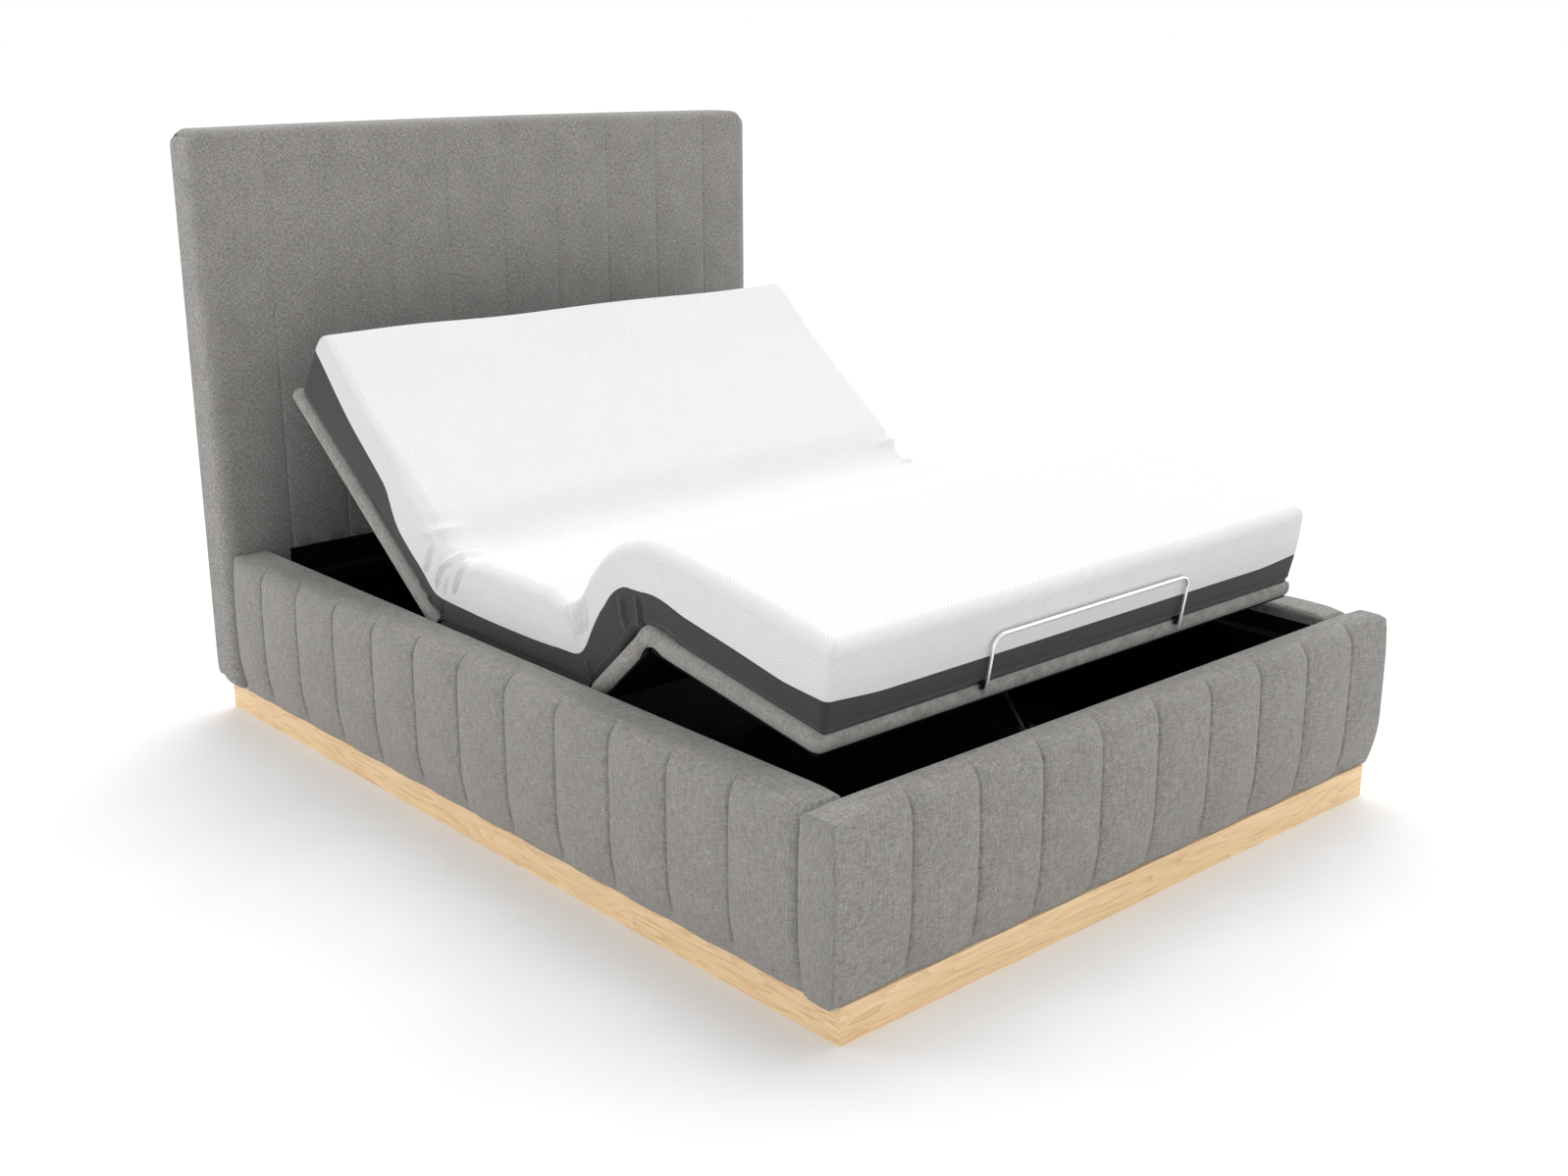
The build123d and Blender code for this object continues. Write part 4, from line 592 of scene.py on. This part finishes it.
def side_turn(P):
    """Rounds the lower back edge of the headboard's sides, outside its frame."""
    R = P.copy()
    round_corner(R, 1, 2, 1117.0, PLINTH_H, 1, -1, 56)
    P += (R - P) * smooth((np.abs(P[:, 0]) - 806) / 22)[:, None]


def headboard():
    seams = [-HALF_W, -657.0] + [166.8 * k for k in range(-3, 5)] + [HALF_W]
    r, rt = 38.0, 22.0
    edge = (0, 1.5, 3.5, 6.5, 10.5, 15.0, 20.0, 26.0, 32.0, r)
    xs = lines([x for x in channel_lines(seams) if abs(x) < HALF_W - r - 1], *[[s * (HALF_W - d) for d in edge] for s in (-1, 1)],
               [-806, 806, -667, 667, -669, 669])
    ys = lines([BOARD_FRONT + d for d in edge], steps(BOARD_FRONT + r, 1062, 12), steps(1062, 1114, 6), [1045.0])
    zs = lines(steps(72, 98, 3.25), steps(98, 134, 6), steps(134, 400, 24), [406, 408, 410], steps(410, BED_H - 60, 26), steps(BED_H - 60, BED_H - rt, 5),
               [BED_H - d for d in (0, 1.2, 3, 5.5, 9, 13, 17, rt)], [1388.0])
    P, Q, tag = lattice(xs, ys, zs, lambda x, y, z: ~((y > 1045) & (np.abs(x) < 806) & (z < 1388)))
    cloth = np.stack([P[:, 2], P[:, 0], P[:, 1]], 1)
    lo, hi = np.array([-HALF_W + r, BOARD_FRONT + r, -1e6]), np.array([HALF_W - r, 1e6, BED_H - rt])
    cl = np.clip(P, lo, hi)
    d = (P - cl) / np.array([r, r, rt])
    n = np.linalg.norm(d, axis=1)
    c = np.abs(d).max(1)
    f = np.where(n > 1e-6, c / np.maximum(n, 1e-6), 1.0)
    P = cl + (P - cl) * f[:, None]
    round_corner(P, 1, 2, BOARD_FRONT, PLINTH_H, -1, -1, 18)
    front = np.clip(1 - (P[:, 1] - BOARD_FRONT) / 20, 0, 1)
    P[:, 1] += front * 5.0 * groove(P[:, 0], seams) * smooth((HALF_W - np.abs(P[:, 0])) / 30) * smooth((BED_H - P[:, 2] + 4) / 26)
    for sx in (-1, 1):
        round_corner(P, 0, 2, sx * HALF_W, BED_H, sx, 1, 40)
        round_corner(P, 0, 2, sx * HALF_W, PLINTH_H, sx, -1, 26)
    side_turn(P)
    P[:, 2] += 5.0 * np.clip((P[:, 2] - 1200) / (BED_H - 1200), 0, 1) * (1 - (P[:, 0] / HALF_W) ** 2)
    P[:, 1] += front * 1.0 * (1 + lumps(P, 420, 2))
    rec = (np.abs(P[:, 0]) < 668) & (P[:, 2] < 409) & (P[:, 1] < 1030)
    P[:, 1] = np.where(rec, np.maximum(P[:, 1], 1010.4), P[:, 1])
    o = make("headboard_cover", P, Q, cloth, [M_BOARD])
    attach(o, "bed_surround")
    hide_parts("headboard_pad")
    return o


def board_back():
    """Flat fabric panel closing the back, with a turned edge."""
    xs = lines(steps(-832, -792, 4), steps(-792, 792, 40), steps(792, 832, 4))
    zs = lines(steps(74, 134, 4), steps(134, 1374, 40), steps(1374, 1414, 4))
    ys = lines([1114, 1115, 1116, 1117])
    P, Q, tag = lattice(xs, ys, zs)
    cloth = np.stack([P[:, 2], P[:, 0], P[:, 1]], 1)
    for sx in (-1, 1):
        for cz, sz, r in ((74, -1, 27.0), (1414, 1, 40.0)):
            round_corner(P, 0, 2, sx * 832, cz, sx, sz, r)
    edge = np.minimum(832 - np.abs(P[:, 0]), np.minimum(P[:, 2] - 74, 1414 - P[:, 2]))
    back = P[:, 1] > 1114.5
    P[:, 1] -= np.where(back, (P[:, 1] - 1114) * 0.75 * (1 - smooth(edge / 9)), 0)
    P[:, 1] += np.where(back, 0.5 * (1 + lumps(P, 300, 3)) * smooth(edge / 40), 0) - np.where(back, 0.8, 0)
    side_turn(P)
    P[:, 2] += 5.0 * np.clip((P[:, 2] - 1200) / (BED_H - 1200), 0, 1) * (1 - (P[:, 0] / HALF_W) ** 2)
    o = make("headboard_back_panel", P, Q, cloth, [M_BOARD])
    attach(o, "bed_surround")
    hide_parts("headboard_back_cover")
    return o


# --------------------------------------------------------------- deck and mattress
def rot(y, z, cy, cz, a):
    """Turns (y, z) about (cy, cz); positive lifts the +y side."""
    dy, dz = y - cy, z - cz
    return cy + dy * np.cos(a) - dz * np.sin(a), cz + dy * np.sin(a) + dz * np.cos(a)


def weight(y, z, s, e):
    dy, dz = e[0] - s[0], e[1] - s[1]
    return smooth(((y - s[0]) * dy + (z - s[1]) * dz) / (dy * dy + dz * dz))


def bend(y, z, cy, cz, total, s, e, after=None):
    """Rest place of flat points, turned about (cy, cz) by the weight that they have
    where they end up. after(y, z) carries them on to rest before they are weighed."""
    lo, hi = np.zeros_like(y), np.ones_like(y)
    for _ in range(46):
        m = (lo + hi) / 2
        ry, rz = rot(y, z, cy, cz, m * total)
        if after is not None:
            ry, rz = after(ry, rz)
        up = weight(ry, rz, s, e) > m
        lo, hi = np.where(up, m, lo), np.where(up, hi, m)
    m = (lo + hi) / 2
    ry, rz = rot(y, z, cy, cz, m * total)
    if after is not None:
        ry, rz = after(ry, rz)
    return ry, rz


def zone(cy, cz, angle, half, sign):
    """Start and end of a blend through (cy, cz): along +-y, tilted by angle."""
    t = (sign * math.cos(angle), math.sin(angle))
    return (cy - half * t[0], cz - half * t[1]), (cy + half * t[0], cz + half * t[1])


H_BACK, H_THIGH, H_KNEE = 110.0, 96.0, 128.0
Z_BACK = zone(BACK_Y, PIVOT_Z, BACK_A / 2, H_BACK, 1)
Z_THIGH = zone(THIGH_Y, PIVOT_Z, THIGH_A / 2, H_THIGH, -1)
Z_KNEE = zone(KNEE_Y, KNEE_Z, THIGH_A - KNEE_A / 2, H_KNEE, -1)
FLAT_KNEE = THIGH_Y - THIGH_L


def to_thigh(y, z):
    return rot(y, z, THIGH_Y, PIVOT_Z, -THIGH_A)


def sharp_place(y, z):
    """Where a point of the flat deck sits with the four sections bent sharply."""
    ry, rz = y.copy(), z.copy()
    m = y > BACK_Y
    ry[m], rz[m] = rot(y[m], z[m], BACK_Y, PIVOT_Z, BACK_A)
    m = y < THIGH_Y
    a, b = y[m], z[m]
    k = a < FLAT_KNEE
    a2, b2 = a.copy(), b.copy()
    a2[k], b2[k] = rot(a[k], b[k], FLAT_KNEE, PIVOT_Z, KNEE_A)
    ry[m], rz[m] = to_thigh(a2, b2)
    return ry, rz


# folds pressed up where the mattress bends: rest (y, z) along each, half widths at its ends, height
FOLDS = [
    ([(281, 474), (274, 486), (264, 504), (254, 523), (245, 534), (229, 544), (208, 555), (184, 569), (160, 579), (129, 589)], 4.0, 10, 9.0),
    ([(208, 477), (198, 498), (189, 516), (180, 533), (171, 548), (155, 560)], 4.5, 8, 8.0),
    ([(320, 500), (315, 515), (305, 530), (300, 545), (294, 559), (284, 578)], 4.5, 7, 8.0),
    ([(246, 470), (240, 490), (232, 508), (222, 522)], 4.0, 6, 5.0),
    ([(330, 588), (296, 597), (250, 607), (205, 618)], 11, 13, 8.0),
    ([(-196, 552), (-214, 522), (-232, 500), (-246, 478)], 6, 4.0, 6.0),
    ([(-222, 562), (-236, 538), (-245, 515), (-252, 490)], 5, 3.6, 7.0),
    ([(-243, 572), (-252, 550), (-258, 526), (-258, 496)], 5, 3.6, 7.0),
    ([(-264, 586), (-270, 562), (-276, 540), (-270, 510)], 5, 3.6, 5.5),
    ([(352, 470), (338, 452), (330, 438), (322, 424)], 6, 6, 5.0),
    ([(318, 452), (308, 437), (300, 424), (296, 412)], 5, 6, 5.0),
    ([(262, 446), (262, 432), (264, 420)], 5, 5, 4.5),
    ([(-268, 446), (-276, 432), (-284, 418)], 5, 5, 4.0),
    ([(-386, 608), (-390, 586), (-393, 560), (-404, 547)], 7, 6, 6.0),
    ([(-436, 618), (-439, 600), (-442, 572), (-432, 556)], 7, 6, 5.0),
]


def folded(R):
    """Height of the folds at rest points, strongest at the long sides."""
    h = np.zeros(len(R))
    p = R[:, 1:3]
    for pts, w0, w1, up in FOLDS:
        q = np.array(pts, float)
        leg = np.r_[0, np.cumsum(np.linalg.norm(np.diff(q, axis=0), axis=1))]
        best, where = np.full(len(p), 1e9), np.zeros(len(p))
        for k in range(len(q) - 1):
            d = q[k + 1] - q[k]
            t = np.clip(((p - q[k]) @ d) / (d @ d), 0, 1)
            g = np.linalg.norm(p - (q[k] + t[:, None] * d), axis=1)
            near = g < best
            best, where = np.where(near, g, best), np.where(near, (leg[k] + t * (leg[k + 1] - leg[k])) / leg[-1], where)
        x = best / (0.92 * (w0 + (w1 - w0) * where))
        h += 1.1 * up * (np.exp(-x ** 1.4) - 0.22 * np.exp(-((x - 2.0) / 0.9) ** 2)) * smooth(where / 0.18 + 0.15) * smooth((1 - where) / 0.25 + 0.1)
    return h * smooth((np.abs(R[:, 0]) - (MAT_W - 95)) / 80)


BAND = [(-1009.2, 69), (-965, 66), (-905, 61), (-765, 66), (-581, 69), (-525, 70), (-500, 92), (-466, 99.7), (-452, 100.8),
        (-438, 101.2), (-424, 100.8), (-410, 99.9), (-396, 98.2), (-382, 95.7), (-368, 95), (-354, 94.6), (-340, 93.1), (-326, 89.4),
        (-312, 83.8), (-298, 78), (-284, 73.4), (-270, 70.3), (-256, 67.9), (-242, 66.3), (-228, 64.9), (-214, 63), (-200, 60.4),
        (-186, 57.4), (-172, 54.5), (-158, 53), (-144, 52.3), (-102, 50.9), (-60, 50.3), (-4, 50.5), (38, 50.9), (80, 51.5),
        (108, 52.3), (136, 53.3), (150, 54.6), (164, 57), (178, 59.7), (192, 62.3), (206, 64.4), (220, 65.8), (234, 66.3),
        (248, 65.8), (262, 64.3), (276, 61.7), (290, 58.2), (304, 54.4), (318, 51.6), (332, 50.3), (346, 49.5), (374, 48.4),
        (402, 46.8), (430, 45.8), (503, 49), (535, 63), (588, 96), (654, 101), (757, 107), (860, 114), (983.3, 126)]

# how the top differs from one even thickness, fuller at the legs, drawn thin over the knee, sat down on the seat: rest y, rise
KNEE_CROWN = ([-1010, -850, -760, -680, -640, -600, -570, -545, -520, -490, -460, -430, -400, -380, -360, -340, -320, -250, -215, -190, 90, 160, 220],
              [1, 2.5, 3.5, 3.5, 3, 2, 0.5, -1.5, -3.5, -5.5, -7.5, -8.5, -7.5, -5.5, -3, -0.5, 1, 1, -3, -5, -5, -2.5, 0])


def mattress():
    y0, y1 = FLAT_KNEE - MAT_FOOT, BACK_Y + MAT_HEAD
    cut_seat = 0.0
    r = 24.0
    edge = (0, 1.4, 3.4, 6, 9.5, 14, 19, r)
    xs = lines(*[[s * (MAT_W - d) for d in edge] for s in (-1, 1)], *[[s * v for v in steps(600, MAT_W - r, 12)] for s in (-1, 1)],
               steps(-600, 600, 30))
    ys = lines([y0 + d for d in edge], [y1 - d for d in edge], steps(y0 + r, FLAT_KNEE - 160, 22), steps(FLAT_KNEE - 160, FLAT_KNEE + 130, 8),
               steps(FLAT_KNEE + 130, -130, 3.6), steps(-130, -60, 9), steps(-60, 60, 15), steps(60, 130, 6), steps(130, 400, 3.6),
               steps(400, 480, 8), steps(480, y1 - r, 20), [cut_seat],
               [FLAT_KNEE + k * d for k in (-1, 1) for d in (0, 0.35, 0.75, 1.2, 1.7, 2.3, 3.0, 3.8, 4.8, 6.0, 7.5, 9.5, 12, 15)])
    zs = lines([9, 11, 14, 17, 18.5, 20, 21.5, 24], steps(24, 63, 5), [66, 67.8, 69, 70.2, 72, 75], steps(75, MAT_UP - r, 4), [MAT_UP - d for d in edge])
    cut_thigh = float(ys[np.argmin(np.abs(ys - (THIGH_Y - 116.0)))])
    P, Q, tag = lattice(xs, ys, zs)
    grid_y = P[:, 1].copy()
    band = P[:, 2] <= 69.01
    face_low = band[Q].all(1)
    cloth = np.stack([P[:, 0], P[:, 1], P[:, 2]], 1)
    # dark band height along the side
    ring = np.linspace(-2, 2, 17)
    soft = np.exp(-ring ** 2 / 2)
    vb = sum(g * np.interp(P[:, 1] + 10.0 * q, [b[0] for b in BAND], [b[1] for b in BAND]) for q, g in zip(ring, soft)) / soft.sum()
    vb -= 9.0 * smooth((y0 + 40 - P[:, 1]) / 30) * smooth((MAT_W - np.abs(P[:, 0])) / 150)
    v = P[:, 2]
    low = 9.0 - 8.2 * smooth((FLAT_KNEE - 30 - P[:, 1]) / 70)
    P[:, 2] = np.where(v <= 69, low + (v - 9) * (vb - low) / 60, vb + (v - 69) * (MAT_UP - vb) / (MAT_UP - 69))
    # rounded top edges and corners
    lo, hi = np.array([-MAT_W + r, y0 + r, -1e6]), np.array([MAT_W - r, y1 - r, MAT_UP - r])
    cl = np.clip(P, lo, hi)
    d = P - cl
    n = np.sqrt(np.sqrt(d[:, 0] ** 4 + d[:, 1] ** 4) + d[:, 2] ** 2)
    c = np.abs(d).max(1)
    f = np.where(n > 1e-6, c / np.maximum(n, 1e-6), 1.0)
    P = cl + d * f[:, None]
    # bottom edge tucks in below the piping; a seam between the two fabrics
    ux = np.clip((np.abs(P[:, 0]) - (MAT_W - 30)) / 30, 0, 1) * np.sign(P[:, 0])
    uy = np.clip((np.abs(P[:, 1] - (y0 + y1) / 2) - ((y1 - y0) / 2 - 30)) / 30, 0, 1) * np.sign(P[:, 1] - (y0 + y1) / 2)
    tuck = 3.0 * smooth((15 - v) / 6.0) - 2.2 * np.exp(-((v - 20) / 1.6) ** 2) + 0.9 * np.exp(-((v - 69) / 1.8) ** 2)
    puff = 3.0 * np.sin(np.clip((v - 20) / 157, 0, 1) * math.pi) - 3.0
    push = puff - tuck
    P[:, 0] += ux * push
    P[:, 1] += uy * push
    # the head end rises a little towards one corner
    rise = smooth((P[:, 1] - (y1 - 240)) / 240) * np.clip((v - 9) / 60, 0, 1)
    P[:, 2] += rise * (14.0 + 5.0 * smooth((300 - P[:, 0]) / 1000) + 2.5 * np.sin(P[:, 0] / 95.0))
    # flat points to rest
    x, y, z = P[:, 0], P[:, 1], P[:, 2] + PIVOT_Z
    hgt = P[:, 2]
    lean = 0.44 * (hgt - 9) * np.clip(1 - np.abs(y - cut_thigh) / 110.0, 0, 1)
    y = y - lean
    ry, rz = y.copy(), z.copy()
    m = grid_y >= cut_seat
    ry[m], rz[m] = bend(y[m], z[m], BACK_Y, PIVOT_Z, BACK_A, *Z_BACK)
    m = (grid_y < cut_seat) & (grid_y >= cut_thigh)
    ry[m], rz[m] = bend(y[m], z[m], THIGH_Y, PIVOT_Z, -THIGH_A, *Z_THIGH)
    m = grid_y < cut_thigh
    ry[m], rz[m] = bend(y[m], z[m], FLAT_KNEE, PIVOT_Z, KNEE_A, *Z_KNEE, after=to_thigh)
    # low down, the two inner folds follow the deck closely
    sy, sz = sharp_place(y, z)
    hold = (1 - smooth((hgt - 14) / 42.0)) * (y > FLAT_KNEE + 110)
    ry, rz = ry + (sy - ry) * hold, rz + (sz - rz) * hold
    R = np.stack([x, ry, rz], 1)
    # soft unevenness
    R[:, 2] += np.where(hgt > 100, 1.6 * lumps(R, 380, 5) * smooth((hgt - 100) / 70), 0)
    R[:, 2] += np.interp(R[:, 1], KNEE_CROWN[0], KNEE_CROWN[1]) * smooth((hgt - 85) / 85)
    crease = np.exp(-((R[:, 1] - 225) / 110) ** 2) * (hgt > 130) * smooth((np.abs(x) - 380) / 260)
    R[:, 2] += crease * 3.0 * lumps(R, 95, 3)
    R += vertex_normals(R, Q) * folded(R)[:, None]
    N = vertex_normals(R, Q)
    for name, a, b, bodies, z_, node_names in (
            ("mattress_head_part", cut_seat, 1e9, ("bed_surround", "back_section"), Z_BACK, ("mattress_back", "mattress_seat")),
            ("mattress_mid_part", cut_thigh, cut_seat, ("bed_surround", "thigh_section"), Z_THIGH, ("mattress_thigh",)),
            ("mattress_foot_part", -1e9, cut_thigh, ("thigh_section", "leg_section"), Z_KNEE, ("mattress_leg",))):
        mid = grid_y[Q].mean(1)
        f = (mid > a) & (mid < b)
        o = split_part(name, R, N, Q[f], cloth, np.where(face_low[f], 1, 0))
        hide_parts(*node_names)
        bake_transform(o)


def split_part(name, R, N, Q, cloth, slots):
    """Part of a larger skin, closed where it was cut, with the larger skin's normals."""
    used, inv = np.unique(Q, return_inverse=True)
    inv = inv.reshape(Q.shape)
    edges = {}
    for q in inv.tolist():
        for k in range(4):
            edges[(q[k], q[(k + 1) % 4])] = 1
    nxt = {b_: a_ for (a_, b_) in edges if (b_, a_) not in edges}
    faces, caps = inv.tolist(), []
    while nxt:
        first, at = next(iter(nxt.items()))
        loop = [first]
        del nxt[first]
        while at != first:
            loop.append(at)
            at = nxt.pop(at)
        caps.append(loop)
    P = R[used]
    me = bpy.data.meshes.new(name)
    me.from_pydata((P / 1000.0).tolist(), [], faces + caps)
    me.update()
    at = me.attributes.new("cloth", "FLOAT_VECTOR", "POINT")
    at.data.foreach_set("vector", (cloth[used] / 1000.0).astype(np.float32).ravel())
    for m in (M_WHITE, M_DARK):
        me.materials.append(m)
    me.polygons.foreach_set("material_index", np.concatenate([slots, np.ones(len(caps))]).astype(np.int32))
    me.polygons.foreach_set("use_smooth", np.ones(len(faces) + len(caps), bool))
    ln = N[used][inv.ravel()].tolist()
    for k, loop in enumerate(caps):
        ln += [list(me.polygons[len(faces) + k].normal)] * len(loop)
    me.normals_split_custom_set(ln)
    o = bpy.data.objects.new(name, me)
    scene.collection.objects.link(o)
    return o


def vertex_normals(P, Q):
    a, b, c, d = (P[Q[:, k]] for k in range(4))
    fn = np.cross(c - a, d - b)
    N = np.zeros_like(P)
    for k in range(4):
        np.add.at(N, Q[:, k], fn)
    return N / np.maximum(np.linalg.norm(N, axis=1, keepdims=True), 1e-12)


def deck_lines(half, r):
    return lines(*[[k * (half - d) for d in (0, 1.2, 3, 5.5, 9, 13, r)] for k in (-1, 1)], [-700, 700], steps(-690, 690, 46))


def deck_section(u0, u1, far_r):
    """Upholstered panel cover, flat: u along the section, open pocket from below."""
    r = 22.5
    xs = deck_lines(708.0, r)
    us = lines(steps(u0, u0 + 12, 3), steps(u0 + 12, u1 - r, 24), [u1 - d for d in (0, 1.2, 3, 5.5, 8, 9, 13, r)])
    vs = lines([-37, -36, -34.5, -32, -29, -26], steps(-26, -6, 4), [-3.5, -1, 1.5, 4, 6, 7.6, 8.5, 9])
    return xs, us, vs, r


def shape_deck(P, u1, r, open_end):
    for s in (-1, 1):
        round_corner(P, 0, 2, s * 708, 9, s, 1, r)
        round_corner(P, 0, 2, s * 708, -37, s, -1, 20)
    if open_end:
        round_corner(P, 1, 2, u1, 9, 1, 1, r)
        round_corner(P, 1, 2, u1, -37, 1, -1, 20)
        for s in (-1, 1):
            round_corner(P, 0, 1, s * 708, u1, s, 1, 12)
    puffed = np.clip((np.abs(P[:, 0]) - 698) / 10, 0, 1) * np.sign(P[:, 0])
    side = np.sin(np.clip((P[:, 2] + 37) / 46, 0, 1) * math.pi)
    P[:, 0] += puffed * (1.2 * side - 1.2)
    P[:, 2] += np.where(P[:, 2] > 7, 0.5 * lumps(P, 300, 6), 0) - np.where(P[:, 2] > 7, 0.6, 0)


def deck_covers():
    # back section
    xs, us, vs, r = deck_section(6.0, BACK_L, 15)
    P, Q, tag = lattice(xs, us, vs, lambda x, u, v: ~((np.abs(x) < 700) & (v < -1) & (u < BACK_L - 8)))
    cloth = np.stack([P[:, 1] + 700, P[:, 0], P[:, 2]], 1)
    shape_deck(P, BACK_L, r, True)
    top = P[:, 2] > 0
    P[:, 1] += np.where(top & (P[:, 1] < 18), np.clip(P[:, 2], 0, 9) * 0.6 * (1 - (P[:, 1] - 6) / 12), 0)
    y, z = rot(BACK_Y + P[:, 1], PIVOT_Z + P[:, 2], BACK_Y, PIVOT_Z, BACK_A)
    o = make("back_deck_cover", np.stack([P[:, 0], y, z], 1), Q, cloth, [M_PAD])
    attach(o, "back_section"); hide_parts("back_pad")
    # seat section; its cover is charcoal as painted shade, where the seat pad lies in shadow under the mattress
    a, b = THIGH_Y + 6.0, BACK_Y - 6.0
    xs = deck_lines(708.0, r)
    ss = lines(steps(a, a + 12, 3), steps(a + 12, b - 12, 24), steps(b - 12, b, 3))
    P, Q, tag = lattice(xs, ss, vs, lambda x, u, v: ~((np.abs(x) < 700) & (v < -1)))
    cloth = np.stack([P[:, 1], P[:, 0], P[:, 2]], 1)
    shape_deck(P, 0, r, False)
    up = np.clip(P[:, 2], 0, 9)
    P[:, 1] += np.where(P[:, 1] < a + 12, up * 0.42 * (1 - (P[:, 1] - a) / 12), 0) - np.where(P[:, 1] > b - 12, up * 0.6 * (1 - (b - P[:, 1]) / 12), 0)
    o = make("seat_deck_cover", np.stack([P[:, 0], P[:, 1], PIVOT_Z + P[:, 2]], 1), Q, cloth, [M_SEAT_PAINTED_SHADE])
    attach(o, "bed_surround"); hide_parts("seat_pad")
    # thigh and leg sections: one cover, bent over the knee
    end = THIGH_L + LEG_L
    us = lines(steps(6, 18, 3), steps(18, THIGH_L - 60, 24), steps(THIGH_L - 60, THIGH_L + 60, 4), steps(THIGH_L + 60, end - r, 24),
               [end - d for d in (0, 1.2, 3, 5.5, 8, 9, 13, r)])
    P, Q, tag = lattice(xs, us, vs, lambda x, u, v: ~((np.abs(x) < 700) & (v < -1) & (u < end - 8)))
    cloth = np.stack([P[:, 1] + 1500, P[:, 0], P[:, 2]], 1)
    shape_deck(P, end, r, True)
    P[:, 1] += np.where((P[:, 2] > 0) & (P[:, 1] < 18), np.clip(P[:, 2], 0, 9) * 0.42 * (1 - (P[:, 1] - 6) / 12), 0)
    u = P[:, 1]
    start, stop = zone(KNEE_Y, KNEE_Z, THIGH_A - KNEE_A / 2, 44.0, -1)
    y, z = bend(THIGH_Y - u, PIVOT_Z + P[:, 2], FLAT_KNEE, PIVOT_Z, KNEE_A, start, stop, after=to_thigh)
    Q = Q[:, ::-1]
    o = make("knee_deck_cover", np.stack([P[:, 0], y, z], 1), Q, cloth, [M_PAD])
    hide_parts("thigh_pad", "leg_pad")
    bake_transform(o)


side_rail(-1)
side_rail(1)
foot_rail()
headboard()
board_back()
deck_covers()
mattress()

# ------------------------------------------------------------------ stage and light
bpy.ops.mesh.primitive_plane_add(size=400, location=(0, 0, 0))
floor = bpy.context.object
floor.name = "floor"
m, nt, b = material("floor_pale")
v = object_vec(nt)
nt.links.new(ramp(nt, noise(nt, v, 2.5, 3, 0.5), [(0.3, (0.90, 0.90, 0.90)), (0.7, (0.94, 0.94, 0.94))]), b.inputs["Base Color"])
b.inputs["Roughness"].default_value = 0.9
b.inputs["Specular IOR Level"].default_value = 0.1
floor.data.materials.append(m)

world = bpy.data.worlds.new("studio")
scene.world = world
world.use_nodes = True
bg = world.node_tree.nodes["Background"]
wt = world.node_tree
up = wt.nodes.new("ShaderNodeSeparateXYZ")
wt.links.new(wt.nodes.new("ShaderNodeTexCoord").outputs["Generated"], up.inputs[0])
wt.links.new(ramp(wt, up.outputs["Z"], [(0.10, (1, 1, 1)), (0.85, (0.62, 0.62, 0.62))]), bg.inputs["Color"])
bg.inputs["Strength"].default_value = 1.0


def area(name, place, target, size, power):
    l = bpy.data.lights.new(name, "AREA")
    l.shape = "DISK"
    l.size = size
    l.energy = power
    o = bpy.data.objects.new(name, l)
    o.location = place
    o.rotation_euler = (Vector(target) - Vector(place)).to_track_quat("-Z", "Y").to_euler()
    scene.collection.objects.link(o)


sun = bpy.data.lights.new("key_soft", "SUN")
sun.energy = 1.75
sun.angle = math.radians(60)
so = bpy.data.objects.new("key_soft", sun)
so.rotation_euler = Vector((-0.50, -0.30, -0.81)).to_track_quat("-Z", "Y").to_euler()
scene.collection.objects.link(so)
area("side_left", (-4.3, 3.9, 3.0), (-0.6, 0, 0.4), 1.8, 56)
area("side_right", (4.6, -3.4, 2.2), (0.2, -1.0, 0.4), 1.8, 25)

cam = bpy.data.cameras.new("camera")
cam.lens = 42.45
cam.sensor_width = 36.0
cam.clip_end = 200
co = bpy.data.objects.new("camera", cam)
co.location = (-2.7060, -3.0766, 1.6270)
co.rotation_euler = (math.radians(73.285), 0, math.radians(-42.0))
scene.collection.objects.link(co)
scene.camera = co
scene.view_settings.view_transform = "Standard"
